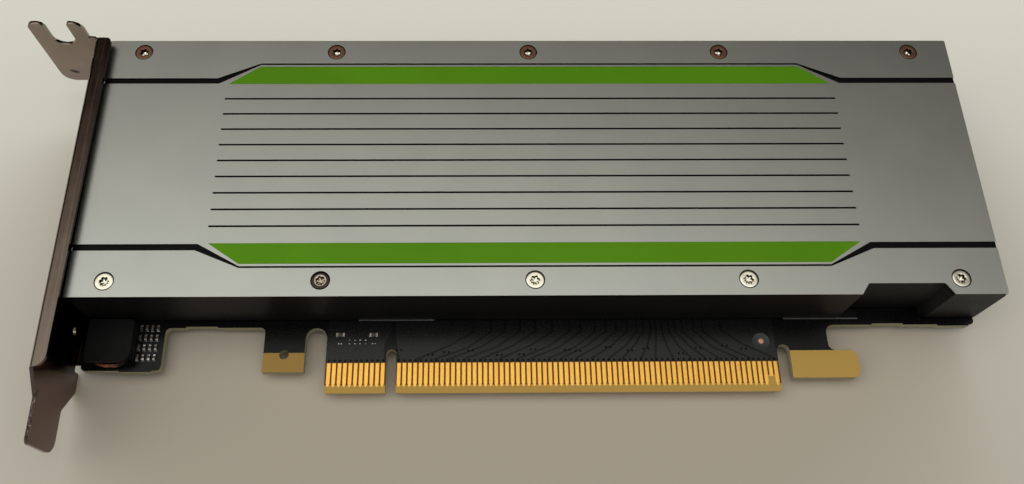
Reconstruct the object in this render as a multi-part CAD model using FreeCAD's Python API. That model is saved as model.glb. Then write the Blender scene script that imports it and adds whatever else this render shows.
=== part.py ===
import FreeCAD, Part
import math
import os

from FreeCAD import Vector

# A low-profile, single-slot accelerator card that is cooled by the server's own airflow.
# Millimetres. X runs along the card with the slot bracket at -X, Y runs up the card away from the
# edge fingers, and Z points out of the component face.
# Origin: centre line of the key slot, on the bottom edge of the fingers, on the component face.

overshoot = 1.0             # cutting solids run past the faces they open by this much

# ---- circuit board -------------------------------------------------------------------------
board_thick = 1.57
board_left = -57.15
board_right = 110.50
board_top = 68.90
board_corner_r = 0.8
bracket_edge_y = 4.35       # bottom edge of the board beside the bracket
rear_edge_y = 12.65         # bottom edge of the board behind the retention hook
end_notch_left = -42.5      # wide notch between the bracket end and the alignment tab
end_notch_right = -23.8
end_notch_top = 12.55
notch_corner_r = 1.0
tab_right = -16.15          # alignment tab, left of the fingers
tab_bottom_y = 3.95
tab_hole_r = 0.88
tab_hole_y = 7.25
front_slot_top = 12.4       # slot between the alignment tab and the fingers
finger_left = -12.15
finger_right = 72.15
finger_corner_r = 0.4
finger_bevel_height = 1.0
finger_bevel_depth = 0.45
key_width = 1.9
key_top = 8.2
hook_slot_top = 8.8         # slot between the fingers and the retention hook
hook_left = 74.55
hook_right = 87.2
hook_bottom_y = 2.45
hook_top_y = 7.7
hook_corner_r = 1.3
hook_inner_r = 0.3
hook_throat_x = 82.0
hook_throat_r = 1.5
nib_depth = 0.25            # remains of the strips that held the board in its panel
nib_width = 6.2
bracket_end_nib_x = -47.1
end_notch_nib_x = -35.8
rear_edge_nib_x = 93.9
rear_corner_nib_x = 106.4

# ---- edge contacts -------------------------------------------------------------------------
contact_pitch = 1.0
contact_width = 0.7
contact_top_y = 5.6
contact_shoulder_y = 1.75
contact_tip_y = 1.1
contact_tip_width = 0.3
contact_thick = 0.05
short_contact_tip_y = 2.75
first_contact_x = -11.5     # centre of the first contact, left of the key slot
contacts_before_key = 11
contacts_after_key = 71
key_contact_offset = 1.5    # key centre line to the next contact centre on either side

# ---- top cover -----------------------------------------------------------------------------
cover_top = 13.30
cover_thick = 1.20
cover_left = -56.75
cover_front = 13.90
cover_back = 68.30
cover_corner_r = 0.3
recess_left = 84.4          # trapezoid recess in the cover and the front rail
recess_right = 101.0
recess_depth = 2.1
recess_slope = 1.45
recess_corner_r = 0.5

fine_groove_count = 9
fine_groove_width = 0.38
fine_groove_depth = 0.30
fine_groove_pitch = 3.40
fine_groove_left = -32.80
fine_groove_right = 86.12

line_depth = 0.30           # stepped dark line above and below the coloured bands
line_wide = 1.25
line_narrow = 0.36
line_from_middle = 17.72    # middle of the cover to the centre of the wide stretch
line_step_out = 3.45        # how far the narrow stretch lies outside the wide one
line_left_x = -34.3         # where the wide stretch at the bracket end stops
line_right_x = 87.5
line_run = 7.8              # length of the slanted stretch
line_corner_lag = 0.4       # the outer corner of the slant lies this much nearer the card's end

band_depth = 0.12           # coloured bands, enamel laid in a shallow pocket
band_left_x = -32.5
band_right_x = 85.7
band_slope_run = 5.9
band_from_middle = 16.97
band_width = 4.05

# ---- screws --------------------------------------------------------------------------------
cover_screw_left_x = -49.95
cover_screw_right_gap = 7.85  # last screw to the rear end of the card
cover_screw_count = 5
cover_screw_front_y = 16.90
cover_screw_back_y = 65.60
cover_screw_head_r = 1.62
cover_screw_shank_r = 1.0
cover_screw_length = 5.0
cover_screw_drive_r = 0.62
cover_screw_drive_depth = 0.75
cover_screw_drive_turn = 30  # degrees
countersink_rim = 0.16      # ring of countersink left open around the head
boss_r = 2.6

board_screw_head_r = 2.2
board_screw_head_height = 1.1
board_screw_shank_r = 1.2
board_screw_length = 4.2
screw_clearance = 0.1
drive_socket_r = 0.9
drive_socket_depth = 0.5

# ---- heatsink body -------------------------------------------------------------------------
rail_thick = 1.60
rail_left = -56.30
rail_lift = 0.50            # gap under the rails, bridged by the lands
land_proud = 0.25           # how far the lands show in front of the rail
front_land_spans = ((-12.3, 3.7), (74.0, 88.2))
web_overlap = 0.4           # depth that webs and the base plate run into the rails
base_left = -46.0
base_right = 62.0
base_bottom = 2.60
base_thick = 2.00
pedestal_rim = 2.0          # pedestal over the die, past the die's edge
hole_run_out = 0.4          # blind holes run on past the screw's end

# ---- fin stack -----------------------------------------------------------------------------
fin_thick = 0.40
fin_count = 26
fin_side_gap = 0.45
fin_top_gap = 0.20
fin_end_gap = 2.0
fin_boss_gap = 0.5          # fins are cut back this far around the screw bosses

# ---- processor and memory ------------------------------------------------------------------
processor_x = 20.0
processor_y = 39.5
substrate_size = 37.5
substrate_thick = 1.20
die_length = 25.0
die_width = 21.8
die_thick = 0.80
paste_thick = 0.10
memory_length = 14.0
memory_width = 12.0
memory_thick = 1.10
memory_pitch = 13.6
memory_gap = 2.75           # substrate edge to the memory column
memory_pad_inset = 1.0
clamp_boss_r = 2.5
clamp_boss_gap = 0.15       # substrate edge to the clamp bosses
clamp_screw_x = 18.0        # clamp screws, measured from the processor centre
clamp_screw_y = substrate_size / 2 + clamp_boss_gap + clamp_boss_r
clamp_washer_r = 2.3
clamp_washer_thick = 0.40

# ---- voltage regulator ---------------------------------------------------------------------
phase_count = 5
phase_pitch = 9.2
inductor_x = 72.0
inductor_size = 7.8
inductor_height = 4.0
inductor_foot = 0.25
inductor_lead_seat = 0.1    # the lead frame enters the moulded block this far
inductor_corner_r = 0.8
power_stage_x = 81.0
power_stage_length = 6.0
power_stage_width = 5.0
power_stage_height = 0.85
polymer_x = 90.5
polymer_length = 7.3
polymer_width = 4.3
polymer_height = 1.9
polymer_corner_r = 0.3

controller_x = 102.5        # regulator controller
controller_y = 37.5
controller_size = 7.0
controller_height = 0.9
firmware_chip_x = 102.0
firmware_chip_y = 50.0
firmware_chip_length = 6.0
firmware_chip_width = 5.0
firmware_chip_height = 1.5
monitor_x = -51.8           # temperature monitor at the air inlet
monitor_y = 38.0
monitor_size = 5.0

# ---- ceramic capacitors --------------------------------------------------------------------
small_cap_length = 1.0
small_cap_width = 0.5
small_cap_height = 0.35
large_cap_length = 1.6
large_cap_width = 0.8
large_cap_height = 0.45
choke_cap_first_x = -47.0   # block of small capacitors beside the choke
choke_cap_first_y = 6.85
choke_cap_pitch_x = 1.05
choke_cap_pitch_y = 1.9
choke_cap_columns = 4
choke_cap_rows = 4
finger_cap_left_x = -9.6
finger_cap_right_x = -3.4
finger_cap_y = 10.95
phase_cap_x = 85.6
phase_cap_spread = 1.2
rear_cap_columns = 6        # on the solder side, behind the processor
rear_cap_rows = 5
rear_cap_pitch_x = 3.6
rear_cap_pitch_y = 3.2

# ---- input choke beside the bracket --------------------------------------------------------
choke_left = -55.7
choke_right = -47.4
choke_front = 5.30
choke_back = 13.40
choke_height = 3.0
choke_base_thick = 0.30
choke_cap_thick = 0.95
choke_wall_thick = 0.50     # side walls; the winding shows at the open front and back
choke_wall_gap = 0.10
choke_post_r = 2.1
choke_corner_r = 2.0
choke_small_corner_r = 0.6
choke_wire_r = 0.27
choke_turns = 3
choke_wire_bulge = 0.45     # winding stands this far out of the open front and back
choke_turn_corner_r = 2.2

# ---- slot bracket --------------------------------------------------------------------------
sheet = 0.65
bend_inner_r = 0.25
panel_inner_x = -58.71
panel_low_z = -3.20
panel_width = 18.42
panel_top_y = 68.05
panel_step_y = 1.1          # where the full width ends above the tongue
panel_step_r = 0.8
relief_corner_r = 0.3
tongue_bottom_y = -11.20
tongue_width = 10.19
tongue_low_z = 1.23
tongue_shoulder_y = -3.35
tongue_shoulder_r = 0.4
tongue_low_corner_r = 2.6
tongue_high_corner_r = 1.0
flange_reach = 2.76         # inward flange on the component-side edge, from the outer face
flange_bottom_y = 0.9
flange_top_y = 67.75
flange_top_r = 1.0
flange_bottom_r = 2.3
screw_tab_depth = 11.43
screw_tab_low_z = 0.80
screw_tab_tip_z = 20.10
screw_tab_low_r = 2.6
horn_tip_r = 1.35
inner_horn_tip_r = 0.55      # inner horn, beside the notch
inner_horn_shoulder_r = 2.2  # inner horn, towards the panel
horn_relief = 0.95          # gap between the inner horn and the panel face
horn_root_r = 0.3
tab_notch_width = 4.42
tab_notch_centre_x = -65.35
tab_notch_floor_z = 13.40
vent_count = 11
vent_pitch = 4.05
vent_width = 2.4
vent_low_z = 1.9
vent_high_z = 9.0
indicator_hole_r = 0.8      # light hole low on the panel
indicator_hole_y = 11.5
indicator_hole_z = 1.6
foot_reach = 9.5
foot_relief = 1.3
foot_spans = ((5.9, 21.0), (50.0, 65.2))
foot_corner_r = 1.2
bracket_screw_x = -53.6
bracket_screw_ys = (17.4, 62.8)
bracket_screw_head_height = 0.72


def box(x0, x1, y0, y1, z0, z1):
    return Part.makeBox(x1 - x0, y1 - y0, z1 - z0, Vector(x0, y0, z0))


def cylinder(x, y, radius, z0, z1):
    return Part.makeCylinder(radius, z1 - z0, Vector(x, y, z0))


def join(solids):
    whole = solids[0]
    if len(solids) > 1:
        whole = whole.fuse(solids[1:])
    return whole.removeSplitter()


def rounded_face(corners):
    # Closed outline from (x, y, radius) corners: straight runs joined by tangent arcs.
    ends = []
    count = len(corners)
    for i in range(count):
        x, y, radius = corners[i]
        here = Vector(x, y, 0)
        before = Vector(corners[i - 1][0], corners[i - 1][1], 0)
        after = Vector(corners[(i + 1) % count][0], corners[(i + 1) % count][1], 0)
        back = (before - here).normalize()
        ahead = (after - here).normalize()
        if radius <= 0:
            ends.append((here, None, here))
            continue
        half_angle = back.getAngle(ahead) / 2
        reach = radius / math.tan(half_angle)
        middle = (back + ahead).normalize()
        centre = here + middle * (radius / math.sin(half_angle))
        ends.append((here + back * reach, centre - middle * radius, here + ahead * reach))
    edges = []
    for i in range(count):
        start, crown, end = ends[i]
        if crown is not None:
            edges.append(Part.Arc(start, crown, end).toShape())
        following = ends[(i + 1) % count][0]
        if end.distanceToPoint(following) > 1e-6:
            edges.append(Part.LineSegment(end, following).toShape())
    return Part.Face(Part.Wire(edges))


def plate(corners, z0, z1):
    # Flat plate parallel to the board.
    face = rounded_face(corners)
    face.translate(Vector(0, 0, z0))
    return face.extrude(Vector(0, 0, z1 - z0))


def plate_across_x(corners, x0, x1):
    # Plate square to X; its corners are given as (y, z, radius).
    face = rounded_face(corners)
    turn = FreeCAD.Matrix(0, 0, 1, 0, 1, 0, 0, 0, 0, 1, 0, 0, 0, 0, 0, 1)
    face.transformShape(turn)
    face.translate(Vector(x0, 0, 0))
    return face.extrude(Vector(x1 - x0, 0, 0))


def plate_across_y(corners, y0, y1):
    # Plate square to Y; its corners are given as (z, x, radius).
    face = rounded_face(corners)
    turn = FreeCAD.Matrix(0, 1, 0, 0, 0, 0, 1, 0, 1, 0, 0, 0, 0, 0, 0, 1)
    face.transformShape(turn)
    face.translate(Vector(0, y0, 0))
    return face.extrude(Vector(0, y1 - y0, 0))


def save(name, solids):
    shape = solids[0] if len(solids) == 1 else Part.makeCompound(solids)
    shape.exportStep("parts/" + name + ".step")
    print(name, len(shape.Solids), "solids", round(shape.Volume, 2), "mm3", shape.isValid())


# ---- places that several pieces share ------------------------------------------------------
board_bottom = -board_thick
cover_bottom = cover_top - cover_thick
rail_top = cover_bottom
base_top = base_bottom + base_thick
panel_outer_x = panel_inner_x - sheet
panel_high_z = panel_low_z + panel_width
foot_top = board_bottom
foot_bottom = foot_top - sheet
cover_screw_pitch = (board_right - cover_screw_right_gap - cover_screw_left_x) / (cover_screw_count - 1)
cover_screw_xs = [cover_screw_left_x + i * cover_screw_pitch for i in range(cover_screw_count)]
cover_screw_ys = (cover_screw_front_y, cover_screw_back_y)
cover_screw_spots = [(x, y) for x in cover_screw_xs for y in cover_screw_ys]
board_screw_spots = [(x, y) for x in cover_screw_xs[1::2] for y in cover_screw_ys]
clamp_spots = [(processor_x + i * clamp_screw_x, processor_y + j * clamp_screw_y)
               for i in (-1, 1) for j in (-1, 1)]
bracket_screw_spots = [(bracket_screw_x, y) for y in bracket_screw_ys]
board_hole_r = board_screw_shank_r + screw_clearance
duct_front = cover_front + rail_thick
duct_back = cover_back - rail_thick
duct_middle = (cover_front + cover_back) / 2


def nib(x, y, rise):
    # Four corners of a low step in an edge that runs along +X.
    foot = nib_width / 2
    head = foot - nib_depth
    return [(x - foot, y, 0), (x - head, y + rise, 0), (x + head, y + rise, 0), (x + foot, y, 0)]


def make_circuit_board():
    half_key = key_width / 2
    front_slot_r = (finger_left - tab_right) / 2
    hook_slot_r = (hook_left - finger_right) / 2
    outline = [(board_left, bracket_edge_y, board_corner_r)]
    outline += nib(bracket_end_nib_x, bracket_edge_y, -nib_depth)
    outline += [(end_notch_left, bracket_edge_y, board_corner_r)]
    outline += [(end_notch_left, end_notch_top, notch_corner_r)]
    outline += nib(end_notch_nib_x, end_notch_top, nib_depth)
    outline += [(end_notch_right, end_notch_top, notch_corner_r)]
    outline += [(end_notch_right, tab_bottom_y, 0), (tab_right, tab_bottom_y, 0)]
    outline += [(tab_right, front_slot_top, front_slot_r), (finger_left, front_slot_top, front_slot_r)]
    outline += [(finger_left, 0, finger_corner_r), (-half_key, 0, 0)]
    outline += [(-half_key, key_top, half_key), (half_key, key_top, half_key)]
    outline += [(half_key, 0, 0), (finger_right, 0, finger_corner_r)]
    outline += [(finger_right, hook_slot_top, hook_slot_r), (hook_left, hook_slot_top, hook_slot_r)]
    outline += [(hook_left, hook_bottom_y, hook_inner_r), (hook_right, hook_bottom_y, hook_corner_r)]
    outline += [(hook_right, hook_top_y, hook_corner_r), (hook_throat_x, hook_top_y, hook_corner_r)]
    outline += [(hook_throat_x, rear_edge_y, hook_throat_r)]
    outline += nib(rear_edge_nib_x, rear_edge_y, nib_depth)
    outline += nib(rear_corner_nib_x, rear_edge_y, -nib_depth)
    outline += [(board_right, rear_edge_y, board_corner_r), (board_right, board_top, board_corner_r)]
    outline += [(board_left, board_top, board_corner_r)]
    board = plate(outline, board_bottom, 0)
    hole_low = board_bottom - overshoot
    holes = [cylinder((end_notch_right + tab_right) / 2, tab_hole_y, tab_hole_r, hole_low, overshoot)]
    for x, y in board_screw_spots + clamp_spots + bracket_screw_spots:
        holes.append(cylinder(x, y, board_hole_r, hole_low, overshoot))
    # The bevel that leads the fingers into their socket, on both faces.
    for face_z, inward in ((0, -1), (board_bottom, 1)):
        start = finger_left - overshoot
        outside = face_z - inward * overshoot
        wedge = [Vector(start, -overshoot, face_z + inward * finger_bevel_depth)]
        wedge.append(Vector(start, 0, face_z + inward * finger_bevel_depth))
        wedge.append(Vector(start, finger_bevel_height, face_z))
        wedge.append(Vector(start, finger_bevel_height, outside))
        wedge.append(Vector(start, -overshoot, outside))
        face = Part.Face(Part.makePolygon(wedge + wedge[:1]))
        holes.append(face.extrude(Vector(finger_right - finger_left + 2 * overshoot, 0, 0)))
    return [board.cut(holes)]


def contact_centres():
    before = [first_contact_x + i * contact_pitch for i in range(contacts_before_key)]
    after = [key_contact_offset + i * contact_pitch for i in range(contacts_after_key)]
    return before + after


def make_contacts_component_side():
    half = contact_width / 2
    tip = contact_tip_width / 2
    short_one = contact_centres()[-2]
    contacts = []
    for x in contact_centres():
        if x == short_one:
            outline = [(x - half, short_contact_tip_y, 0), (x + half, short_contact_tip_y, 0)]
        else:
            outline = [(x - half, contact_shoulder_y, 0), (x - tip, contact_tip_y, 0)]
            outline += [(x + tip, contact_tip_y, 0), (x + half, contact_shoulder_y, 0)]
        outline += [(x + half, contact_top_y, 0), (x - half, contact_top_y, 0)]
        contacts.append(plate(outline, 0, contact_thick))
    return contacts


def make_contacts_solder_side():
    half = contact_width / 2
    short_one = first_contact_x
    contacts = []
    for x in contact_centres():
        tip = short_contact_tip_y if x == short_one else contact_shoulder_y
        low = board_bottom - contact_thick
        contacts.append(box(x - half, x + half, tip, contact_top_y, low, board_bottom))
    return contacts


def recess_corners(grow):
    # Corners of the finger-side edge, from -X to +X, with the trapezoid recess moved inward by grow.
    top = cover_front + recess_depth + grow
    slant = grow * math.tan(math.atan2(recess_depth, recess_slope) / 2)
    return [(recess_left - slant, cover_front + grow, 0),
            (recess_left + recess_slope - slant, top, recess_corner_r),
            (recess_right - recess_slope + slant, top, recess_corner_r),
            (recess_right + slant, cover_front + grow, 0)]


def mirrored(outline):
    # The same outline reflected about the middle line of the cover.
    return [(x, 2 * duct_middle - y, radius) for x, y, radius in reversed(outline)]


def lower_line():
    # Dark line: a wide stretch at each end, slanting outward to a narrow stretch between them.
    inner = duct_middle - line_from_middle + line_wide / 2
    outer = inner - line_wide
    low = outer - line_step_out
    return [(cover_left - overshoot, inner, 0), (cover_left - overshoot, outer, 0),
            (line_left_x - line_corner_lag, outer, 0), (line_left_x + line_run, low, 0),
            (line_right_x - line_run, low, 0), (line_right_x + line_corner_lag, outer, 0),
            (board_right + overshoot, outer, 0), (board_right + overshoot, inner, 0),
            (line_right_x, inner, 0), (line_right_x - line_run, low + line_narrow, 0),
            (line_left_x + line_run, low + line_narrow, 0), (line_left_x, inner, 0)]


def lower_band():
    high = duct_middle - band_from_middle
    low = high - band_width
    return [(band_left_x + band_slope_run, low, 0), (band_right_x - band_slope_run, low, 0),
            (band_right_x, high, 0), (band_left_x, high, 0)]


def band_plates(low, high):
    return [plate(lower_band(), low, high), plate(mirrored(lower_band()), low, high)]


def make_top_cover():
    outline = [(cover_left, cover_front, 0)] + recess_corners(0)
    outline += [(board_right, cover_front, cover_corner_r), (board_right, cover_back, cover_corner_r)]
    outline += [(cover_left, cover_back, 0)]
    cover = plate(outline, cover_bottom, cover_top)
    cuts = []
    above = cover_top + overshoot
    half = fine_groove_width / 2
    for i in range(fine_groove_count):
        y = duct_middle + (i - (fine_groove_count - 1) / 2) * fine_groove_pitch
        floor = cover_top - fine_groove_depth
        cuts.append(box(fine_groove_left, fine_groove_right, y - half, y + half, floor, above))
    for line in (lower_line(), mirrored(lower_line())):
        cuts.append(plate(line, cover_top - line_depth, above))
    cuts += band_plates(cover_top - band_depth, above)
    head_r = cover_screw_head_r + countersink_rim
    cone_r = head_r + overshoot
    hole_r = cover_screw_shank_r + screw_clearance
    for x, y in cover_screw_spots:
        cuts.append(Part.makeCone(0, cone_r, cone_r, Vector(x, y, cover_top - head_r)))
        cuts.append(cylinder(x, y, hole_r, cover_bottom - overshoot, cover_top))
    return [cover.cut(cuts)]


def make_band_enamel():
    return band_plates(cover_top - band_depth, cover_top)


def make_cover_screws():
    screws = []
    for x, y in cover_screw_spots:
        head = Part.makeCone(cover_screw_shank_r, cover_screw_head_r,
                             cover_screw_head_r - cover_screw_shank_r,
                             Vector(x, y, cover_top - cover_screw_head_r + cover_screw_shank_r))
        shank = cylinder(x, y, cover_screw_shank_r, cover_top - cover_screw_length, cover_top)
        drive_floor = cover_top - cover_screw_drive_depth
        outline = hexagon(x, y, cover_screw_drive_r, cover_screw_drive_turn)
        drive = plate(outline, drive_floor, cover_top + overshoot)
        screws.append(join([head, shank]).cut(drive))
    return screws


def boss_with_web(x, y, low, high):
    # Screw boss joined to the nearer rail.
    wall_y = cover_front + web_overlap if y < duct_middle else cover_back - web_overlap
    web = box(x - boss_r, x + boss_r, min(y, wall_y), max(y, wall_y), low, high)
    return [cylinder(x, y, boss_r, low, high), web]


def make_heatsink_body():
    rear_corners = [(board_right, cover_back, 0), (rail_left, cover_back, 0)]
    footprint = [(rail_left, cover_front, 0)] + recess_corners(0)
    footprint += [(board_right, cover_front, 0)] + rear_corners
    inner = [(rail_left - overshoot, duct_front, 0)] + recess_corners(rail_thick)
    inner += [(board_right + overshoot, duct_front, 0), (board_right + overshoot, duct_back, 0)]
    inner += [(rail_left - overshoot, duct_back, 0)]
    duct = plate(inner, rail_lift - overshoot, rail_top + overshoot)
    rails = plate(footprint, rail_lift, rail_top).cut(duct)
    pieces = rails.Solids
    pieces.append(box(base_left, base_right, duct_front - web_overlap, duct_back + web_overlap,
                      base_bottom, base_top))
    rim = pedestal_rim
    pieces.append(box(processor_x - die_length / 2 - rim, processor_x + die_length / 2 + rim,
                      processor_y - die_width / 2 - rim, processor_y + die_width / 2 + rim,
                      substrate_thick + die_thick + paste_thick, base_bottom + web_overlap))
    for x, y in cover_screw_spots:
        pieces += boss_with_web(x, y, 0, rail_top)
    for x, y in bracket_screw_spots:
        pieces += boss_with_web(x, y, 0, base_top)
    for x, y in clamp_spots:
        pieces.append(cylinder(x, y, clamp_boss_r, 0, base_bottom + web_overlap))
    body = join(pieces).common(plate(footprint, 0, rail_top))
    lands = [box(x0, x1, cover_front - land_proud, duct_front, 0, rail_lift) for x0, x1 in front_land_spans]
    body = join([body] + lands)
    holes = []
    for x, y in cover_screw_spots:
        end = cover_top - cover_screw_length - hole_run_out
        holes.append(cylinder(x, y, cover_screw_shank_r, end, rail_top + overshoot))
    for x, y in board_screw_spots + clamp_spots:
        end = board_bottom + board_screw_length + hole_run_out
        holes.append(cylinder(x, y, board_screw_shank_r, -overshoot, end))
    for x, y in bracket_screw_spots:
        end = foot_bottom + board_screw_length + hole_run_out
        holes.append(cylinder(x, y, board_screw_shank_r, -overshoot, end))
    return [body.cut(holes)]


def make_fin_stack():
    # Folded fins, each with a lip at its foot and head that reaches the next fin.
    front = duct_front + fin_side_gap
    pitch = (duct_back - fin_side_gap - fin_thick - front) / (fin_count - 1)
    low = base_top
    high = cover_bottom - fin_top_gap
    keep_out = []
    for x, y in cover_screw_spots:
        wall_y = duct_front if y < duct_middle else duct_back
        keep = boss_r + fin_boss_gap
        keep_out.append(box(x - keep, x + keep, min(y, wall_y) - keep, max(y, wall_y) + keep,
                            low - overshoot, high + overshoot))
    fins = []
    for i in range(fin_count):
        y = front + i * pitch
        reach = y + pitch if i < fin_count - 1 else y + fin_thick
        profile = [Vector(base_left + fin_end_gap, y, low), Vector(base_left + fin_end_gap, reach, low)]
        profile.append(Vector(base_left + fin_end_gap, reach, low + fin_thick))
        profile.append(Vector(base_left + fin_end_gap, y + fin_thick, low + fin_thick))
        profile.append(Vector(base_left + fin_end_gap, y + fin_thick, high - fin_thick))
        profile.append(Vector(base_left + fin_end_gap, reach, high - fin_thick))
        profile.append(Vector(base_left + fin_end_gap, reach, high))
        profile.append(Vector(base_left + fin_end_gap, y, high))
        if i == fin_count - 1:
            profile = [profile[0], profile[1], profile[6], profile[7]]
        face = Part.Face(Part.makePolygon(profile + profile[:1]))
        fin = face.extrude(Vector(base_right - base_left - 2 * fin_end_gap, 0, 0))
        near = [post for post in keep_out if post.BoundBox.intersect(fin.BoundBox)]
        fins += fin.cut(near).Solids if near else [fin]
    return fins


def make_processor():
    substrate = standing_box(processor_x, processor_y, substrate_size, substrate_size, substrate_thick)
    x0 = processor_x - die_length / 2
    x1 = processor_x + die_length / 2
    y0 = processor_y - die_width / 2
    y1 = processor_y + die_width / 2
    die = box(x0, x1, y0, y1, substrate_thick, substrate_thick + die_thick)
    paste_low = substrate_thick + die_thick
    paste = box(x0, x1, y0, y1, paste_low, paste_low + paste_thick)
    return substrate, die, paste


def memory_places():
    near = substrate_size / 2 + memory_gap + memory_length / 2
    places = []
    for side in (-1, 1):
        for row in (-1, 0, 1):
            places.append((processor_x + side * near, processor_y + row * memory_pitch))
    far = near + memory_length + memory_gap / 2
    for row in (-0.5, 0.5):
        places.append((processor_x - far, processor_y + row * memory_pitch))
    return places


def make_memory():
    chips = []
    pads = []
    for x, y in memory_places():
        half_x = memory_length / 2
        half_y = memory_width / 2
        inset = memory_pad_inset
        chips.append(box(x - half_x, x + half_x, y - half_y, y + half_y, 0, memory_thick))
        pads.append(box(x - half_x + inset, x + half_x - inset, y - half_y + inset, y + half_y - inset,
                        memory_thick, base_bottom))
    return chips, pads


def phase_rows():
    return [duct_middle + (i - (phase_count - 1) / 2) * phase_pitch for i in range(phase_count)]


def rounded_block(x, y, half_x, half_y, radius, z0, z1):
    corners = [(x - half_x, y - half_y, radius), (x + half_x, y - half_y, radius),
               (x + half_x, y + half_y, radius), (x - half_x, y + half_y, radius)]
    return plate(corners, z0, z1)


def make_inductors():
    half = inductor_size / 2
    bodies = []
    for y in phase_rows():
        block = rounded_block(inductor_x, y, half, half, inductor_corner_r, inductor_foot, inductor_height)
        lead = box(inductor_x - half, inductor_x + half, y - half / 2, y + half / 2,
                   0, inductor_foot + inductor_lead_seat)
        bodies.append(join([block, lead]))
    return bodies


def make_power_stages():
    half_x = power_stage_width / 2
    half_y = power_stage_length / 2
    return [box(power_stage_x - half_x, power_stage_x + half_x, y - half_y, y + half_y, 0, power_stage_height)
            for y in phase_rows()]


def make_polymer_capacitors():
    half_x = polymer_length / 2
    half_y = polymer_width / 2
    capacitors = []
    for i in range(phase_count - 1):
        y = (phase_rows()[i] + phase_rows()[i + 1]) / 2
        capacitors.append(rounded_block(polymer_x, y, half_x, half_y, polymer_corner_r, 0, polymer_height))
    return capacitors


def standing_box(x, y, length, width, height):
    return box(x - length / 2, x + length / 2, y - width / 2, y + width / 2, 0, height)


def make_controller_chips():
    controller = standing_box(controller_x, controller_y, controller_size, controller_size, controller_height)
    firmware = standing_box(firmware_chip_x, firmware_chip_y, firmware_chip_length, firmware_chip_width,
                            firmware_chip_height)
    monitor = standing_box(monitor_x, monitor_y, monitor_size, monitor_size, controller_height)
    return [controller, firmware, monitor]


def choke_turn(x, y, z):
    # One closed turn of wire: four straight runs joined by quarter rings.
    corner_r = choke_turn_corner_r
    wire_r = choke_wire_r
    run_x = (choke_right - choke_left) / 2 - choke_wall_thick - choke_wall_gap - wire_r - corner_r
    run_y = (choke_back - choke_front) / 2 + choke_wire_bulge - wire_r - corner_r
    pieces = []
    for side in (-1, 1):
        start = Vector(x - run_x, y + side * (run_y + corner_r), z)
        pieces.append(Part.makeCylinder(wire_r, 2 * run_x, start, Vector(1, 0, 0)))
        start = Vector(x + side * (run_x + corner_r), y - run_y, z)
        pieces.append(Part.makeCylinder(wire_r, 2 * run_y, start, Vector(0, 1, 0)))
    for quarter, side_x, side_y in ((0, 1, 1), (1, -1, 1), (2, -1, -1), (3, 1, -1)):
        centre = Vector(x + side_x * run_x, y + side_y * run_y, z)
        bend = Part.makeTorus(corner_r, wire_r, centre, Vector(0, 0, 1), -180, 180, 90)
        bend.rotate(centre, Vector(0, 0, 1), 90 * quarter)
        pieces.append(bend)
    return join(pieces)


def make_choke():
    middle_x = (choke_left + choke_right) / 2
    middle_y = (choke_front + choke_back) / 2
    small_r = choke_small_corner_r
    outline = [(choke_left, choke_front, small_r), (choke_right, choke_front, choke_corner_r),
               (choke_right, choke_back, small_r), (choke_left, choke_back, small_r)]
    low = choke_base_thick
    high = choke_height - choke_cap_thick
    window = box(choke_left + choke_wall_thick, choke_right - choke_wall_thick,
                 choke_front - overshoot, choke_back + overshoot, low, high)
    post = cylinder(middle_x, middle_y, choke_post_r, 0, choke_height)
    core = join([plate(outline, 0, choke_height).cut(window), post])
    pitch = (high - low) / choke_turns
    turns = [choke_turn(middle_x, middle_y, low + pitch * (i + 0.5)) for i in range(choke_turns)]
    return [core], turns


def large_capacitor(x, y):
    return standing_box(x, y, large_cap_length, large_cap_width, large_cap_height)


def make_ceramic_capacitors():
    capacitors = []
    for column in range(choke_cap_columns):
        for row in range(choke_cap_rows):
            x = choke_cap_first_x + column * choke_cap_pitch_x
            y = choke_cap_first_y + row * choke_cap_pitch_y
            capacitors.append(standing_box(x, y, small_cap_width, small_cap_length, small_cap_height))
    for x in (finger_cap_left_x, finger_cap_right_x):
        capacitors.append(large_capacitor(x, finger_cap_y))
    for y in phase_rows():
        for side in (-1, 1):
            capacitors.append(large_capacitor(phase_cap_x, y + side * phase_cap_spread))
    return capacitors


def make_rear_capacitors():
    capacitors = []
    for column in range(rear_cap_columns):
        for row in range(rear_cap_rows):
            x = processor_x + (column - (rear_cap_columns - 1) / 2) * rear_cap_pitch_x
            y = processor_y + (row - (rear_cap_rows - 1) / 2) * rear_cap_pitch_y
            capacitor = large_capacitor(x, y)
            capacitor.translate(Vector(0, 0, board_bottom - large_cap_height))
            capacitors.append(capacitor)
    return capacitors


def hexagon(x, y, radius, turn):
    corners = []
    for i in range(6):
        angle = math.radians(60 * i + turn)
        corners.append((x + radius * math.cos(angle), y + radius * math.sin(angle), 0))
    return corners


def low_head_screw(x, y, seat_z, head_height):
    # Screw driven from the solder side: flat head below its seat, shank upwards.
    head = cylinder(x, y, board_screw_head_r, seat_z - head_height, seat_z)
    shank = cylinder(x, y, board_screw_shank_r, seat_z, seat_z + board_screw_length)
    head_end = seat_z - head_height
    drive = plate(hexagon(x, y, drive_socket_r, 0), head_end - overshoot, head_end + drive_socket_depth)
    return join([head, shank]).cut(drive)


def make_screws_from_below(spots, seat_z, head_height):
    return [low_head_screw(x, y, seat_z, head_height) for x, y in spots]


def make_clamp_washers():
    low = board_bottom - clamp_washer_thick
    washers = []
    for x, y in clamp_spots:
        disc = cylinder(x, y, clamp_washer_r, low, board_bottom)
        washers.append(disc.cut(cylinder(x, y, board_hole_r, low - overshoot, board_bottom + overshoot)))
    return washers


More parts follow.
